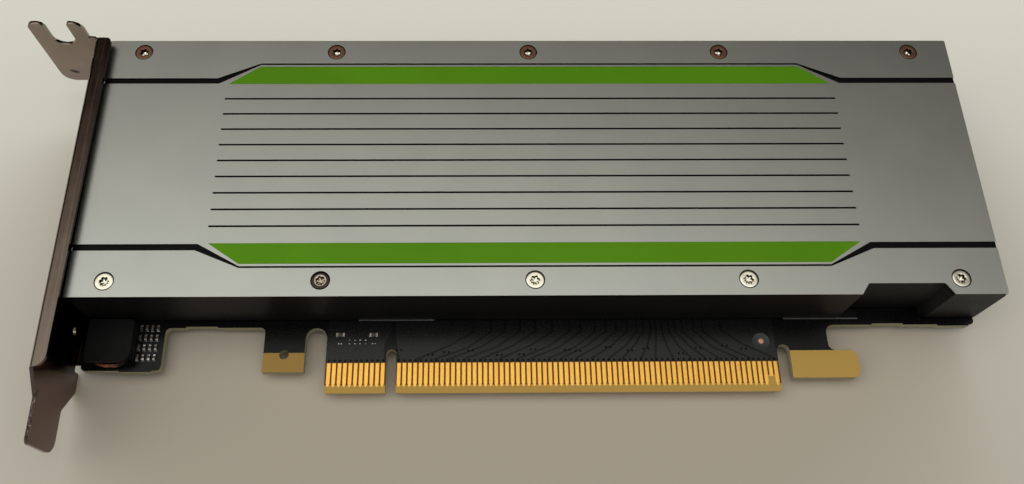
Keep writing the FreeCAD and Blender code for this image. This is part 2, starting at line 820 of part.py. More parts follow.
def bent_sheet(inner_corner, across, along):
    # Section of one right-angle bend: the sheet arrives against -along and leaves along across.
    # inner_corner is where the two inner faces would meet if the bend were sharp.
    inner = bend_inner_r
    outer = bend_inner_r + sheet
    centre = inner_corner + (across + along) * inner
    crown = (across + along) * (-1 / math.sqrt(2))
    start_inner = centre - across * inner
    start_outer = centre - across * outer
    end_inner = centre - along * inner
    end_outer = centre - along * outer
    inner_arc = Part.Arc(start_inner, centre + crown * inner, end_inner).toShape()
    outer_arc = Part.Arc(end_outer, centre + crown * outer, start_outer).toShape()
    end = Part.LineSegment(end_inner, end_outer).toShape()
    start = Part.LineSegment(start_outer, start_inner).toShape()
    return Part.Face(Part.Wire([inner_arc, end, outer_arc, start]))


def make_bracket():
    outer_r = bend_inner_r + sheet
    low = panel_low_z
    high = panel_high_z
    flat_high = high - outer_r
    flat_low = foot_top + bend_inner_r
    flat_top = panel_top_y - outer_r
    tongue_high_z = tongue_low_z + tongue_width
    # Flat panel with its tongue, up to where the bends begin. Reliefs stand beside both feet.
    outline = [(tongue_bottom_y, tongue_low_z, tongue_low_corner_r)]
    outline += [(tongue_shoulder_y, tongue_low_z, tongue_shoulder_r), (panel_step_y, low, panel_step_r)]
    for y0, y1 in foot_spans:
        before = y0 - foot_relief
        after = y1 + foot_relief
        outline += [(before, low, relief_corner_r), (before, flat_low, relief_corner_r)]
        outline += [(y0, flat_low, 0), (y1, flat_low, 0)]
        outline += [(after, flat_low, relief_corner_r), (after, low, 0)]
    outline += [(flat_top, low, 0), (flat_top, flat_high, 0), (flange_bottom_y, flat_high, 0)]
    outline += [(flange_bottom_y, flat_high + bend_inner_r, 0)]
    outline += [(tongue_shoulder_y, tongue_high_z, tongue_shoulder_r)]
    outline += [(tongue_bottom_y, tongue_high_z, tongue_high_corner_r)]
    pieces = [plate_across_x(outline, panel_outer_x, panel_inner_x)]
    # Stiffening flange, folded inward along the component-side edge.
    flange_length = flange_top_y - flange_bottom_y
    flange_root = Vector(panel_inner_x, flange_bottom_y, high - sheet)
    bend = bent_sheet(flange_root, Vector(1, 0, 0), Vector(0, 0, -1))
    bend_end = panel_inner_x + bend_inner_r
    flange_end = panel_outer_x + flange_reach
    lip = box(bend_end, flange_end, flange_bottom_y, flange_top_y, high - sheet, high)
    flange_plan = [(panel_outer_x, flange_bottom_y, 0), (flange_end, flange_bottom_y, flange_bottom_r),
                   (flange_end, flange_top_y, flange_top_r), (panel_outer_x, flange_top_y, 0)]
    flange = join([bend.extrude(Vector(0, flange_length, 0)), lip])
    pieces.append(flange.common(plate(flange_plan, flat_high, high)))
    # Feet, folded inward under the board.
    for y0, y1 in foot_spans:
        bend = bent_sheet(Vector(panel_inner_x, y0, foot_top), Vector(1, 0, 0), Vector(0, 0, 1))
        pieces.append(bend.extrude(Vector(0, y1 - y0, 0)))
        foot_end = panel_inner_x + foot_reach
        pieces.append(plate([(bend_end, y0, 0), (foot_end, y0, foot_corner_r), (foot_end, y1, foot_corner_r),
                             (bend_end, y1, 0)], foot_bottom, foot_top))
    # Screw tab, folded outward at the top, with its open notch between two horns.
    tab_bend = bent_sheet(Vector(panel_outer_x, panel_top_y - sheet, screw_tab_low_z),
                          Vector(-1, 0, 0), Vector(0, -1, 0))
    pieces.append(tab_bend.extrude(Vector(0, 0, high - screw_tab_low_z)))
    tab_end = panel_outer_x - screw_tab_depth
    tab_start = panel_outer_x - bend_inner_r
    horn_x = panel_outer_x - horn_relief
    half = tab_notch_width / 2
    notch_high_x = tab_notch_centre_x + half
    notch_low_x = tab_notch_centre_x - half
    tip = screw_tab_tip_z
    outline = [(screw_tab_low_z, tab_end, screw_tab_low_r), (screw_tab_low_z, tab_start, 0)]
    outline += [(high, tab_start, 0), (high, horn_x, horn_root_r)]
    outline += [(tip, horn_x, inner_horn_shoulder_r), (tip, notch_high_x, inner_horn_tip_r)]
    outline += [(tab_notch_floor_z, notch_high_x, half), (tab_notch_floor_z, notch_low_x, half)]
    outline += [(tip, notch_low_x, horn_tip_r), (tip, tab_end, horn_tip_r)]
    pieces.append(plate_across_y(outline, panel_top_y - sheet, panel_top_y))
    bracket = join(pieces)
    hole_low = foot_bottom - overshoot
    hole_high = foot_top + overshoot
    cuts = [cylinder(x, y, board_hole_r, hole_low, hole_high) for x, y in bracket_screw_spots]
    half = vent_width / 2
    for i in range(vent_count):
        y = duct_middle + (i - (vent_count - 1) / 2) * vent_pitch
        slot = [(y - half, vent_low_z, half), (y + half, vent_low_z, half),
                (y + half, vent_high_z, half), (y - half, vent_high_z, half)]
        cuts.append(plate_across_x(slot, panel_outer_x - overshoot, panel_inner_x + overshoot))
    start = Vector(panel_outer_x - overshoot, indicator_hole_y, indicator_hole_z)
    cuts.append(Part.makeCylinder(indicator_hole_r, sheet + 2 * overshoot, start, Vector(1, 0, 0)))
    return [bracket.cut(cuts)]


if __name__ == "__main__":
    os.makedirs("parts", exist_ok=True)
    save("circuit_board", make_circuit_board())
    save("contacts_component_side", make_contacts_component_side())
    save("contacts_solder_side", make_contacts_solder_side())
    save("top_cover", make_top_cover())
    save("band_enamel", make_band_enamel())
    save("cover_screws", make_cover_screws())
    save("heatsink_body", make_heatsink_body())
    save("fin_stack", make_fin_stack())
    substrate, die, paste = make_processor()
    save("processor_substrate", [substrate])
    save("processor_die", [die])
    save("thermal_paste", [paste])
    chips, pads = make_memory()
    save("memory_chips", chips)
    save("memory_pads", pads)
    save("regulator_inductors", make_inductors())
    save("power_stages", make_power_stages())
    save("polymer_capacitors", make_polymer_capacitors())
    save("controller_chips", make_controller_chips())
    core, turns = make_choke()
    save("choke_core", core)
    save("choke_winding", turns)
    save("ceramic_capacitors", make_ceramic_capacitors())
    save("rear_capacitors", make_rear_capacitors())
    save("board_screws", make_screws_from_below(board_screw_spots, board_bottom, board_screw_head_height))
    low_heads = make_screws_from_below(bracket_screw_spots, foot_bottom, bracket_screw_head_height)
    save("bracket_screws", low_heads)
    washer_face = board_bottom - clamp_washer_thick
    save("clamp_screws", make_screws_from_below(clamp_spots, washer_face, board_screw_head_height))
    save("clamp_washers", make_clamp_washers())
    save("slot_bracket", make_bracket())
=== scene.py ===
import math

import bmesh
import bpy
import numpy as np
from mathutils import Matrix, Vector


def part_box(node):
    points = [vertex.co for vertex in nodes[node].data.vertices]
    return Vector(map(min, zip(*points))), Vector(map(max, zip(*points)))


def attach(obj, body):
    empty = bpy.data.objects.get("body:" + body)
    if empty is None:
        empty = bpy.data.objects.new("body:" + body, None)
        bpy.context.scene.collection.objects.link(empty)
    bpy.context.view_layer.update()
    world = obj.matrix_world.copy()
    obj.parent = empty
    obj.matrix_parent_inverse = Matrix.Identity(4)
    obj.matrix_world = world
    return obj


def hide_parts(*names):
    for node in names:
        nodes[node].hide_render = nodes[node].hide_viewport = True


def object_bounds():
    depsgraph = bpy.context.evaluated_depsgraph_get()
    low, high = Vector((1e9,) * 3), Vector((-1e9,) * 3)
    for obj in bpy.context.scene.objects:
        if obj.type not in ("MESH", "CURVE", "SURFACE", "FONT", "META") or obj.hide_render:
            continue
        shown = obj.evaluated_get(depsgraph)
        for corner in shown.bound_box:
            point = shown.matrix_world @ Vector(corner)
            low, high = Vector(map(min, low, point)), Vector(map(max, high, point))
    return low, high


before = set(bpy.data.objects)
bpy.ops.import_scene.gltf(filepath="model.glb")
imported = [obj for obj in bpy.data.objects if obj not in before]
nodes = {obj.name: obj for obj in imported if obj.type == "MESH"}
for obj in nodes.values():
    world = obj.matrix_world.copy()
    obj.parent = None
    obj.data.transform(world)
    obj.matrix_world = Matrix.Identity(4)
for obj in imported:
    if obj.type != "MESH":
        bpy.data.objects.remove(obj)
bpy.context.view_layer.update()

# Low-profile accelerator card. Lengths below are in millimetres and become metres in the meshes.
mm = 0.001
chance = np.random.default_rng(41)
print("frame loaded:", len(nodes), "nodes")


def gridFaces(rows, columns, wrap=False):
    # quads of a rows x columns grid of points; wrap joins the last column to the first
    row, column = np.meshgrid(np.arange(rows - 1), np.arange(columns if wrap else columns - 1), indexing="ij")
    after = (column + 1) % columns
    low, high = row * columns, (row + 1) * columns
    return np.stack([low + column, low + after, high + after, high + column], -1).reshape(-1, 4)


def repeatAt(points, faces, places, turns=None):
    # copies of one shape: each copy is turned about its own Z by its turn, then moved to its place
    places = np.asarray(places, float)
    turns = np.zeros(len(places)) if turns is None else np.asarray(turns, float)
    c, s = np.cos(turns)[:, None], np.sin(turns)[:, None]
    x, y, z = points[:, 0], points[:, 1], points[:, 2] + np.zeros_like(c)
    spun = np.stack([c * x - s * y, s * x + c * y, z], -1) + places[:, None, :]
    steps = np.arange(len(places))[:, None, None] * len(points)
    return spun.reshape(-1, 3), (faces[None] + steps).reshape(-1, faces.shape[1])


def newMesh(name, points, faces):
    mesh = bpy.data.meshes.new(name)
    mesh.from_pydata((np.asarray(points) * mm).tolist(), [], faces.tolist())
    return mesh


def intoScene(name, data):
    made = bpy.data.objects.new(name, data)
    bpy.context.scene.collection.objects.link(made)
    return made


def makePiece(name, points, faces, material, slotName, stands=None, smoothAngle=35, close=True):
    # mesh from points in millimetres; poles and seams are merged, and a closed shape's faces turned outwards
    mesh = newMesh(name, points, faces)
    shape = bmesh.new()
    shape.from_mesh(mesh)
    bmesh.ops.remove_doubles(shape, verts=shape.verts, dist=2e-7)
    if close:
        bmesh.ops.recalc_face_normals(shape, faces=shape.faces)
    shape.to_mesh(mesh)
    shape.free()
    return settle(name, mesh, material, stands, smoothAngle)


def settle(name, mesh, material, stands=None, smoothAngle=35):
    # puts a finished mesh into the scene, riding on the one body
    piece = intoScene(name, mesh)
    mesh.materials.clear()
    mesh.materials.append(material)
    mesh.polygons.foreach_set("use_smooth", np.ones(len(mesh.polygons), bool))
    if smoothAngle:
        mesh.set_sharp_from_angle(angle=math.radians(smoothAngle))
    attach(piece, "root")
    if stands:
        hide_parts(*stands)
    return piece


rounding = dict(merge=1e-6, flatAngle=0.8, sharpAngle=28, onBox=4e-6, faceWeight=100, weightGap=0.01)


def roundedCopy(node, name, material, slotName, width, segments=2, outerWidth=None, moves=()):
    # the node's own form with its triangles merged into whole faces and its sharp edges rounded.
    # outerWidth rounds the edges that lie on the node's bounding box, where hands and tools rub.
    # moves shifts the corners that lie between two spots by a step
    shape = bmesh.new()
    shape.from_mesh(nodes[node].data)
    bmesh.ops.remove_doubles(shape, verts=shape.verts, dist=rounding["merge"])
    flat = math.radians(rounding["flatAngle"])
    bmesh.ops.dissolve_limit(shape, angle_limit=flat, verts=shape.verts, edges=shape.edges)
    for least, most, step in moves:
        corners = [v for v in shape.verts if all(a <= c / mm <= b for a, c, b in zip(least, v.co, most))]
        bmesh.ops.translate(shape, verts=corners, vec=Vector(step) * mm)
    mesh = bpy.data.meshes.new(name)
    shape.to_mesh(mesh)
    shape.free()
    piece = settle(name, mesh, material, (node,), None)
    if outerWidth:
        low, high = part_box(node)
        spots = np.array([v.co for v in mesh.vertices], np.float32)
        middle = spots[[e.vertices[:] for e in mesh.edges]].mean(1)
        near = np.minimum(np.abs(middle - np.array(low)), np.abs(middle - np.array(high)))[:, :2]
        outer = near.min(1) < rounding["onBox"]
        mark = mesh.attributes.new("bevel_weight_edge", "FLOAT", "EDGE")
        mark.data.foreach_set("value", np.where(outer, 1.0, width / outerWidth).astype(np.float32))
    bevel = piece.modifiers.new("roundedEdges", "BEVEL")
    bevel.width, bevel.segments, bevel.limit_method = (outerWidth or width) * mm, segments, "ANGLE"
    bevel.angle_limit = math.radians(rounding["sharpAngle"])
    even = piece.modifiers.new("flatFaces", "WEIGHTED_NORMAL")
    even.mode, even.weight, even.thresh = "FACE_AREA", rounding["faceWeight"], rounding["weightGap"]
    return piece


def dress(node, material):
    # a CAD node that stays gets its finish in its own material slots
    slots = nodes[node].data.materials
    if len(slots) == 0:
        slots.append(material)
    for i in range(len(slots)):
        slots[i] = material


def newMaterial(name):
    material = bpy.data.materials.new(name)
    material.use_nodes = True
    tree = material.node_tree
    return material, tree, tree.nodes["Principled BSDF"]


def put(tree, kind, inputs=None, **settings):
    # one node; an input is either a fixed value or another node's output
    made = tree.nodes.new(kind)
    for key, value in settings.items():
        setattr(made, key, value)
    for key, value in (inputs or {}).items():
        if isinstance(value, bpy.types.NodeSocket):
            tree.links.new(value, made.inputs[key])
        else:
            made.inputs[key].default_value = value
    return made


def reckon(tree, how, a, b=0.0, c=0.0, clamp=False):
    return put(tree, "ShaderNodeMath", {0: a, 1: b, 2: c}, operation=how, use_clamp=clamp).outputs[0]


def allOf(tree, share, *others):
    # the product of several shares
    for other in others:
        share = reckon(tree, "MULTIPLY", share, other)
    return share


def within(tree, value, low=None, high=None):
    # 1 where the value lies above low and below high; either may be left out
    return allOf(tree, *[reckon(tree, how, value, limit) for how, limit in
                         (("GREATER_THAN", low), ("LESS_THAN", high)) if limit is not None])


def ramp(tree, value, start, end, low=0.0, high=1.0, kind="LINEAR"):
    # low at start, high at end, and level beyond them
    return put(tree, "ShaderNodeMapRange", {"Value": value, "From Min": start, "From Max": end,
                                            "To Min": low, "To Max": high}, interpolation_type=kind).outputs[0]


def splitXyz(tree, vector):
    return put(tree, "ShaderNodeSeparateXYZ", {0: vector}).outputs


def inMillimetres(tree, stretch=(1, 1, 1)):
    # the piece's own coordinates, in millimetres, squeezed or stretched along each axis
    own = put(tree, "ShaderNodeTexCoord").outputs["Object"]
    return put(tree, "ShaderNodeMapping", {"Vector": own, "Scale": [1000.0 * s for s in stretch]}).outputs[0]


def noise(tree, where, size, detail=3.0, low=0.0, high=1.0, spread=(0.3, 0.7)):
    # soft noise with lumps about size millimetres across, spread out between low and high
    lumps = put(tree, "ShaderNodeTexNoise", {"Vector": where, "Scale": 1.0 / size, "Detail": detail,
                                             "Roughness": 0.55}).outputs["Fac"]
    return ramp(tree, lumps, *spread, low, high)


def blend(tree, amount, first, second):
    # first colour where amount is 0, second where it is 1
    mix = put(tree, "ShaderNodeMix", data_type="RGBA")
    for socket, value in ((mix.inputs[0], amount), (mix.inputs[6], first), (mix.inputs[7], second)):
        if isinstance(value, bpy.types.NodeSocket):
            tree.links.new(value, socket)
        else:
            socket.default_value = value if isinstance(value, float) else (*value, 1.0)
    return mix.outputs[2]


def tinted(tree, shader, share, colour):
    # the finish turns to this colour where the share is 1
    before = shader.inputs["Base Color"].links[0].from_socket
    tree.links.new(blend(tree, share, before, colour), shader.inputs["Base Color"])


def bumped(tree, shader, height, distance, under=None):
    # raises the surface by height x distance millimetres; under is an earlier bump
    inputs = {"Height": height, "Distance": distance * mm, "Strength": 1.0}
    if under is not None:
        inputs["Normal"] = under
    out = put(tree, "ShaderNodeBump", inputs).outputs[0]
    tree.links.new(out, shader.inputs["Normal"])
    return out


def nearestOf(tree, xyz, spots):
    # distance in the XY plane to the nearest of several spots
    nearest = None
    for x, y in spots:
        dx, dy = reckon(tree, "SUBTRACT", xyz[0], x), reckon(tree, "SUBTRACT", xyz[1], y)
        away = reckon(tree, "SQRT", reckon(tree, "ADD", allOf(tree, dx, dx), allOf(tree, dy, dy)))
        nearest = away if nearest is None else reckon(tree, "MINIMUM", nearest, away)
    return nearest


def plainFinish(name, look):
    # colour drifting between two shades, with fine grain in the gloss and in the surface
    material, tree, shader = newMaterial(name)
    where = inMillimetres(tree, look.get("stretch", (1, 1, 1)))
    tint = blend(tree, noise(tree, where, look["driftSize"]), look["colour"], look["shade"])
    if "speck" in look:
        tint = blend(tree, noise(tree, where, look["speckSize"], 2.0, spread=(0.66, 0.72)), tint, look["speck"])
    tree.links.new(tint, shader.inputs["Base Color"])
    grain = noise(tree, where, look["grainSize"], 4.0)
    tree.links.new(ramp(tree, grain, 0.0, 1.0, *look["rough"]), shader.inputs["Roughness"])
    for socket, key, usual in (("Metallic", "metal", 0.0), ("IOR", "ior", 1.5), ("Coat Weight", "coat", 0.0),
                               ("Coat Roughness", "coatRough", 0.1)):
        shader.inputs[socket].default_value = look.get(key, usual)
    return material, tree, shader, where, bumped(tree, shader, grain, look["grainDepth"])


finishParts = ("colour", "shade", "driftSize", "rough", "grainSize", "grainDepth")


def simpleFinish(name, *values, **more):
    # a finish that needs little more than these six values, in that order
    return plainFinish(name, dict(zip(finishParts, values), **more))[0]


def revolved(radii, heights, segments, centre=(0.0, 0.0)):
    # rings about a Z axis, from the middle outwards: point(ring, angle) = (r cos, r sin, z).
    # A radius is either one number or one for each angle
    angle = np.linspace(0, 2 * np.pi, segments, endpoint=False)
    radii = np.array([r + 0 * angle for r in radii])
    heights = np.array(heights)[:, None] + 0 * angle
    points = np.stack([centre[0] + radii * np.cos(angle), centre[1] + radii * np.sin(angle), heights], -1)
    return points.reshape(-1, 3), gridFaces(len(heights), segments, True)


def lobedHead(look, lobed, plain):
    # screw head with a six-lobe recess, whose rings follow r = share (mean + swing cos(6 angle)) + more;
    # the outer rings are circles
    angle = np.linspace(0, 2 * np.pi, look["segments"], endpoint=False)
    outer, inner = look["lobeOuter"], look["lobeInner"]
    lobes = (outer + inner) / 2 + (outer - inner) / 2 * np.cos(6 * angle)
    radii = [lobes * share + more for share, more, z in lobed] + [r for r, z in plain]
    return revolved(radii, [z for *_, z in lobed] + [z for r, z in plain], look["segments"])


def scratched(tree, shader, where, look, under):
    # hairlines: noise drawn out along one direction, kept only where it crosses its middle.
    # scratch gives two turns, how far the lines are drawn out, how fine and how deep they are
    first, second, reach, fineness, depth = look["scratch"]
    for angle, scale in ((first, 1.0), (second, 1.0 / reach)):
        where = put(tree, "ShaderNodeMapping", {"Vector": where, "Rotation": (0, 0, angle),
                                                "Scale": (scale, 1.0, 1.0)}).outputs[0]
    lines = put(tree, "ShaderNodeTexNoise", {"Vector": where, "Scale": fineness, "Detail": 1.0}).outputs["Fac"]
    away = reckon(tree, "ABSOLUTE", reckon(tree, "SUBTRACT", lines, 0.5))
    return bumped(tree, shader, ramp(tree, away, 0.0, 0.006, 1.0, 0.0), -depth, under)


cover = dict(
    colour=(0.510, 0.515, 0.488), shade=(0.470, 0.480, 0.460), driftSize=14.0,
    rough=(0.28, 0.36), grainSize=0.11, grainDepth=0.0030, metal=1.0, edgeWidth=0.045, outerWidth=0.16,
    top=13.30, barePlate=0.13, seatR=2.4, seatShadeLip=0.012, black=(0.0055, 0.0047, 0.0052), ior=1.16,
    scratch=(0.4, 0.3, 40.0, 0.9, 0.0015),
)


def makeCover():
    material, tree, shader, where, under = plainFinish("coverAluminium", cover)
    # bare metal on the top face alone: the walls, grooves and lines below it are black, and the screw seats are
    # black almost to the top edge as painted shade round each head
    xyz = splitXyz(tree, where)
    away = nearestOf(tree, xyz, [(x, y) for y in coverScrew["ys"] for x in coverScrew["xs"]])
    # painted shade: within each screw seat the black reaches up to the thin lip
    depth = reckon(tree, "MULTIPLY_ADD", within(tree, away, None, cover["seatR"]),
                   cover["seatShadeLip"] - cover["barePlate"], cover["barePlate"])
    black = reckon(tree, "LESS_THAN", xyz[2], reckon(tree, "SUBTRACT", cover["top"], depth))
    tinted(tree, shader, black, cover["black"])
    tree.links.new(reckon(tree, "SUBTRACT", 1.0, black), shader.inputs["Metallic"])
    scratched(tree, shader, where, cover, under)
    roundedCopy("top_cover", "coverPlate", material, "satin_aluminium", cover["edgeWidth"], 2, cover["outerWidth"])


enamel = dict(
    colour=(0.105, 0.270, 0.006), shade=(0.092, 0.240, 0.007), driftSize=22.0, metal=0.45,
    rough=(0.36, 0.46), grainSize=0.30, grainDepth=0.004, ior=1.25, edgeWidth=0.03,
)


def makeEnamel():
    material = plainFinish("greenEnamel", enamel)[0]
    roundedCopy("band_enamel", "coverBandEnamel", material, "green_enamel", enamel["edgeWidth"])


coverScrew = dict(
    xs=[-49.95 + 38.15 * i for i in range(5)], ys=(16.90, 65.60), top=13.30, headR=1.62, shankR=1.0, length=5.0,
    lobeOuter=0.85, lobeInner=0.605, depth=0.85, segments=60, colour=(0.86, 0.82, 0.70), shade=(0.78, 0.73, 0.62),
    ringPitch=0.11, ringDepth=0.0004, rough=(0.07, 0.14), warmReflection=(0.235, 0.122, 0.084), warmFrom=40.0, warmRing=0.62,
    warmRough=0.34, reflectionHead=(-11.80, 16.90), reflectionRing=(1.08, 1.7), darkReflection=(0.045, 0.032, 0.028),
    paleReflection=(0.40, 0.33, 0.28), recessTop=13.14, recessR=0.93, recessFloor=12.52,
    recessShade=(0.055, 0.036, 0.032),
)


def makeCoverScrews():
    # countersunk head: the recess, the flat ring, the rim, the cone and the shank
    s = coverScrew
    head, shank, floor = s["headR"], s["shankR"], -s["depth"]
    lobed = ((0.0, 0.0, floor - 0.18), (0.55, 0.0, floor - 0.08), (0.97, 0.0, floor), (1.0, 0.0, -0.10),
             (1.0, 0.03, -0.03), (1.0, 0.07, 0.0))
    plain = ((1.02, 0.004), (1.30, 0.002), (head - 0.10, -0.004), (head - 0.03, -0.03), (head, -0.09),
             (head - 0.02, -0.14), (shank, shank - head), (shank, -s["length"] + 0.2), (shank - 0.2, -s["length"]),
             (0.0, -s["length"]))
    spots = [(x, y) for y in s["ys"] for x in s["xs"]]
    points, faces = repeatAt(*lobedHead(s, lobed, plain), [(x, y, s["top"]) for x, y in spots],
                             chance.uniform(0, np.pi / 3, len(spots)))
    material, tree, shader, where = screwSteel("screwSteel", s, spots)
    # the rear row is tinted warm brown as a painted reflection, one head carries a painted dark reflection ring
    # round its recess, and the recess walls are painted in shade
    xyz = splitXyz(tree, where)
    axisAway, fromReflectionHead = nearestOf(tree, xyz, spots), nearestOf(tree, xyz, [s["reflectionHead"]])
    reflectionTinted = allOf(tree, within(tree, xyz[1], s["warmFrom"]), within(tree, axisAway, s["warmRing"]))
    # painted reflection: the rear heads take a warm brown tint outside the recess floor
    tinted(tree, shader, reflectionTinted, s["warmReflection"])
    gloss = shader.inputs["Roughness"].links[0].from_socket
    tree.links.new(reckon(tree, "MULTIPLY_ADD", reflectionTinted, s["warmRough"], gloss), shader.inputs["Roughness"])
    # painted reflection on one head: a pale disc inside a dark ring round its recess
    tinted(tree, shader, within(tree, fromReflectionHead, None, s["reflectionRing"][1]), s["paleReflection"])
    tinted(tree, shader, within(tree, fromReflectionHead, *s["reflectionRing"]), s["darkReflection"])
    # painted shade on the walls of each recess
    deep = within(tree, xyz[2], s["recessFloor"], s["recessTop"])
    shadedRecess = allOf(tree, within(tree, axisAway, None, s["recessR"]), deep)
    tinted(tree, shader, shadedRecess, s["recessShade"])
    makePiece("coverScrewHeads", points, faces, material, "screw_steel", ("cover_screws",), 38)


def screwSteel(name, look, spots):
    # bright plated steel with turned rings: the rings follow the distance to the nearest screw axis
    material, tree, shader, where, under = plainFinish(name, dict(look, driftSize=1.1, grainSize=0.12,
                                                                  grainDepth=0.002, metal=1.0))
    nearest = nearestOf(tree, splitXyz(tree, where), spots)
    turns = reckon(tree, "SINE", reckon(tree, "MULTIPLY", nearest, 2 * math.pi / look["ringPitch"]))
    bumped(tree, shader, turns, look["ringDepth"], under)
    return material, tree, shader, where


anodised = dict(
    colour=(0.0085, 0.0082, 0.0088), shade=(0.0120, 0.0114, 0.0116), driftSize=6.0, stretch=(0.25, 1, 1),
    rough=(0.34, 0.50), grainSize=0.16, grainDepth=0.006, edgeWidth=0.10, outerWidth=0.14,
    proudOf=13.88, highlightFrom=0.45, highlightMetal=(0.20, 0.20, 0.21), ior=1.19,
    landEnds=(((-12.32, 0, -1), (-12.28, 70, 0.52), (6.0, 0, 0)), ((3.68, 0, -1), (3.72, 70, 0.52), (4.2, 0, 0))),
)


def makeHeatsink():
    a = anodised
    material, tree, shader, where = plainFinish("blackAnodised", a)[:4]
    # painted highlight: the lands under the front rail turn bright bare metal along their upper front edge
    xyz = splitXyz(tree, where)
    edgeHighlight = allOf(tree, within(tree, xyz[1], None, a["proudOf"]), within(tree, xyz[2], a["highlightFrom"]))
    tinted(tree, shader, edgeHighlight, a["highlightMetal"])
    tree.links.new(edgeHighlight, shader.inputs["Metallic"])
    roundedCopy("heatsink_body", "heatsinkBody", material, "black_anodised", a["edgeWidth"], 2, a["outerWidth"],
                a["landEnds"])
    dress("fin_stack", simpleFinish("bareFins", (0.70, 0.71, 0.72), (0.55, 0.56, 0.58), 5.0, (0.22, 0.38), 0.2,
                                    0.004, stretch=(0.08, 1, 1), metal=1.0))


board = dict(
    bottom=-1.57, colour=(0.0026, 0.0027, 0.0029), shade=(0.0020, 0.0021, 0.0023), driftSize=3.0,
    rough=(0.22, 0.34), grainSize=0.5, grainDepth=0.003, ior=1.28, bare=(0.700, 0.430, 0.112),
    bareShade=(0.630, 0.370, 0.088), clothSize=0.42, side=(0.42, 0.375, 0.26), sideShade=(0.33, 0.29, 0.19),
    layerSize=0.2, rearShadeFrom=60.0, rearShadeShare=0.85, rearSideShade=(0.10, 0.092, 0.062), tabShadeShare=0.44,
    tabShade=(0.24, 0.135, 0.030), bareZones=((-24.0, -16.0, 7.62), (74.4, 87.4, 7.68), (-12.3, 72.3, 5.72)),
    gapShadeFrom=1.45, contactGapShade=(0.150, 0.075, 0.020), shortContact=(69.85, 71.15, 3.05), bareRough=0.434, sideRough=0.62,
    # what lies between these lengths and below this height is cut away or holds the fingers
    outline=(-57.15, 110.5, 4.35, 68.9),
    openings=((-42.5, -23.8, 12.55), (-23.8, -12.15, 12.6), (-12.2, 72.2, 6.3), (72.0, 82.1, 8.9),
              (82.0, 120.0, 12.9)),
)


def insideZone(tree, xyz, left, right, top):
    return allOf(tree, within(tree, xyz[0], left, right), within(tree, xyz[1], None, top))


def waves(tree, where, size, direction, bend, **more):
    # even stripes about size millimetres apart
    return put(tree, "ShaderNodeTexWave", {"Vector": where, "Scale": 0.314 / size, "Distortion": bend, **more},
               bands_direction=direction).outputs["Fac"]


def boardMaterial():
    # black solder mask on both faces, bare laminate near the fingers, and pale sawn laminate at the edges
    material, tree, shader, where = plainFinish("boardLaminate", board)[:4]
    xyz = splitXyz(tree, where)
    zones = [insideZone(tree, xyz, *zone) for zone in board["bareZones"]]
    bareHere = reckon(tree, "MAXIMUM", reckon(tree, "MAXIMUM", zones[0], zones[1]), zones[2])
    # glass cloth under clear resin: two crossed waves
    cloth = allOf(tree, *[waves(tree, where, board["clothSize"], d, 0.6, Detail=1.0) for d in "XY"])
    bare = blend(tree, cloth, board["bare"], board["bareShade"])
    # painted shade: the bare laminate of the left tab is darkened
    bare = blend(tree, allOf(tree, zones[0], board["tabShadeShare"]), bare, board["tabShade"])
    # painted shade in the gaps between the contacts, left out below the short contact
    shadedGap = allOf(tree, zones[2], within(tree, xyz[1], board["gapShadeFrom"]))
    shadedGap = reckon(tree, "SUBTRACT", shadedGap, insideZone(tree, xyz, *board["shortContact"]), clamp=True)
    tinted(tree, shader, bareHere, blend(tree, shadedGap, bare, board["contactGapShade"]))
    # sawn edge: fine vertical tool marks and thin layers, painted in shade along the rear
    saw = noise(tree, inMillimetres(tree, (1, 1, 0.12)), 0.14)
    sawn = blend(tree, allOf(tree, waves(tree, where, board["layerSize"], "Z", 0.4), saw), board["side"],
                 board["sideShade"])
    rear = allOf(tree, within(tree, xyz[1], board["rearShadeFrom"]), board["rearShadeShare"])
    facing = splitXyz(tree, put(tree, "ShaderNodeNewGeometry").outputs["Normal"])[2]
    isSide = within(tree, reckon(tree, "ABSOLUTE", facing), None, 0.5)
    tinted(tree, shader, isSide, blend(tree, rear, sawn, board["rearSideShade"]))
    gloss = shader.inputs["Roughness"].links[0].from_socket
    for share, least in ((bareHere, board["bareRough"]), (isSide, board["sideRough"])):
        gloss = reckon(tree, "MAXIMUM", gloss, allOf(tree, share, least))
    tree.links.new(gloss, shader.inputs["Roughness"])
    return material


traces = dict(
    height=0.014, gap=0.34, colour=(0.0045, 0.0050, 0.0052), shade=(0.0034, 0.0037, 0.0040), driftSize=2.0,
    rough=(0.20, 0.32), grainSize=0.35, grainDepth=0.003, ior=1.38,
    lineStep=(2.3, 3.5), lineFirst=1.7, lineLast=69.0, lineBeside=71.2, outermost=((1.45, -1.0), (72.15, 0.0)),
    lean=10.5, leanMiddle=50.0, leanWidth=16.0, lift=0.25,
    # each level of the front lines: its share of the lean, its height and its share of the lift
    levels=((0.0, 5.86, 0.0), (0.0, 6.35, 0.0), (0.58, 8.7, 1.0), (1.0, 11.6, 0.0), (1.0, 14.9, 0.0)),
    keyEdge=-12.25, leftLevels=(5.86, 8.9, 11.6, 14.9), leftEnds=(-1.2, -1.2, 0.0, 0.0),
    rearWidth=0.3, rearStart=5.5, rearKnee=(6.35, 0.55), rearRun=(1.3, 0.2), rearTop=16.5,
    rearLean=10.0, rearMiddle=31.0, rearSpread=22.0,
)
contactXs = np.concatenate([-11.5 + np.arange(11.0), 1.5 + np.arange(71.0)])


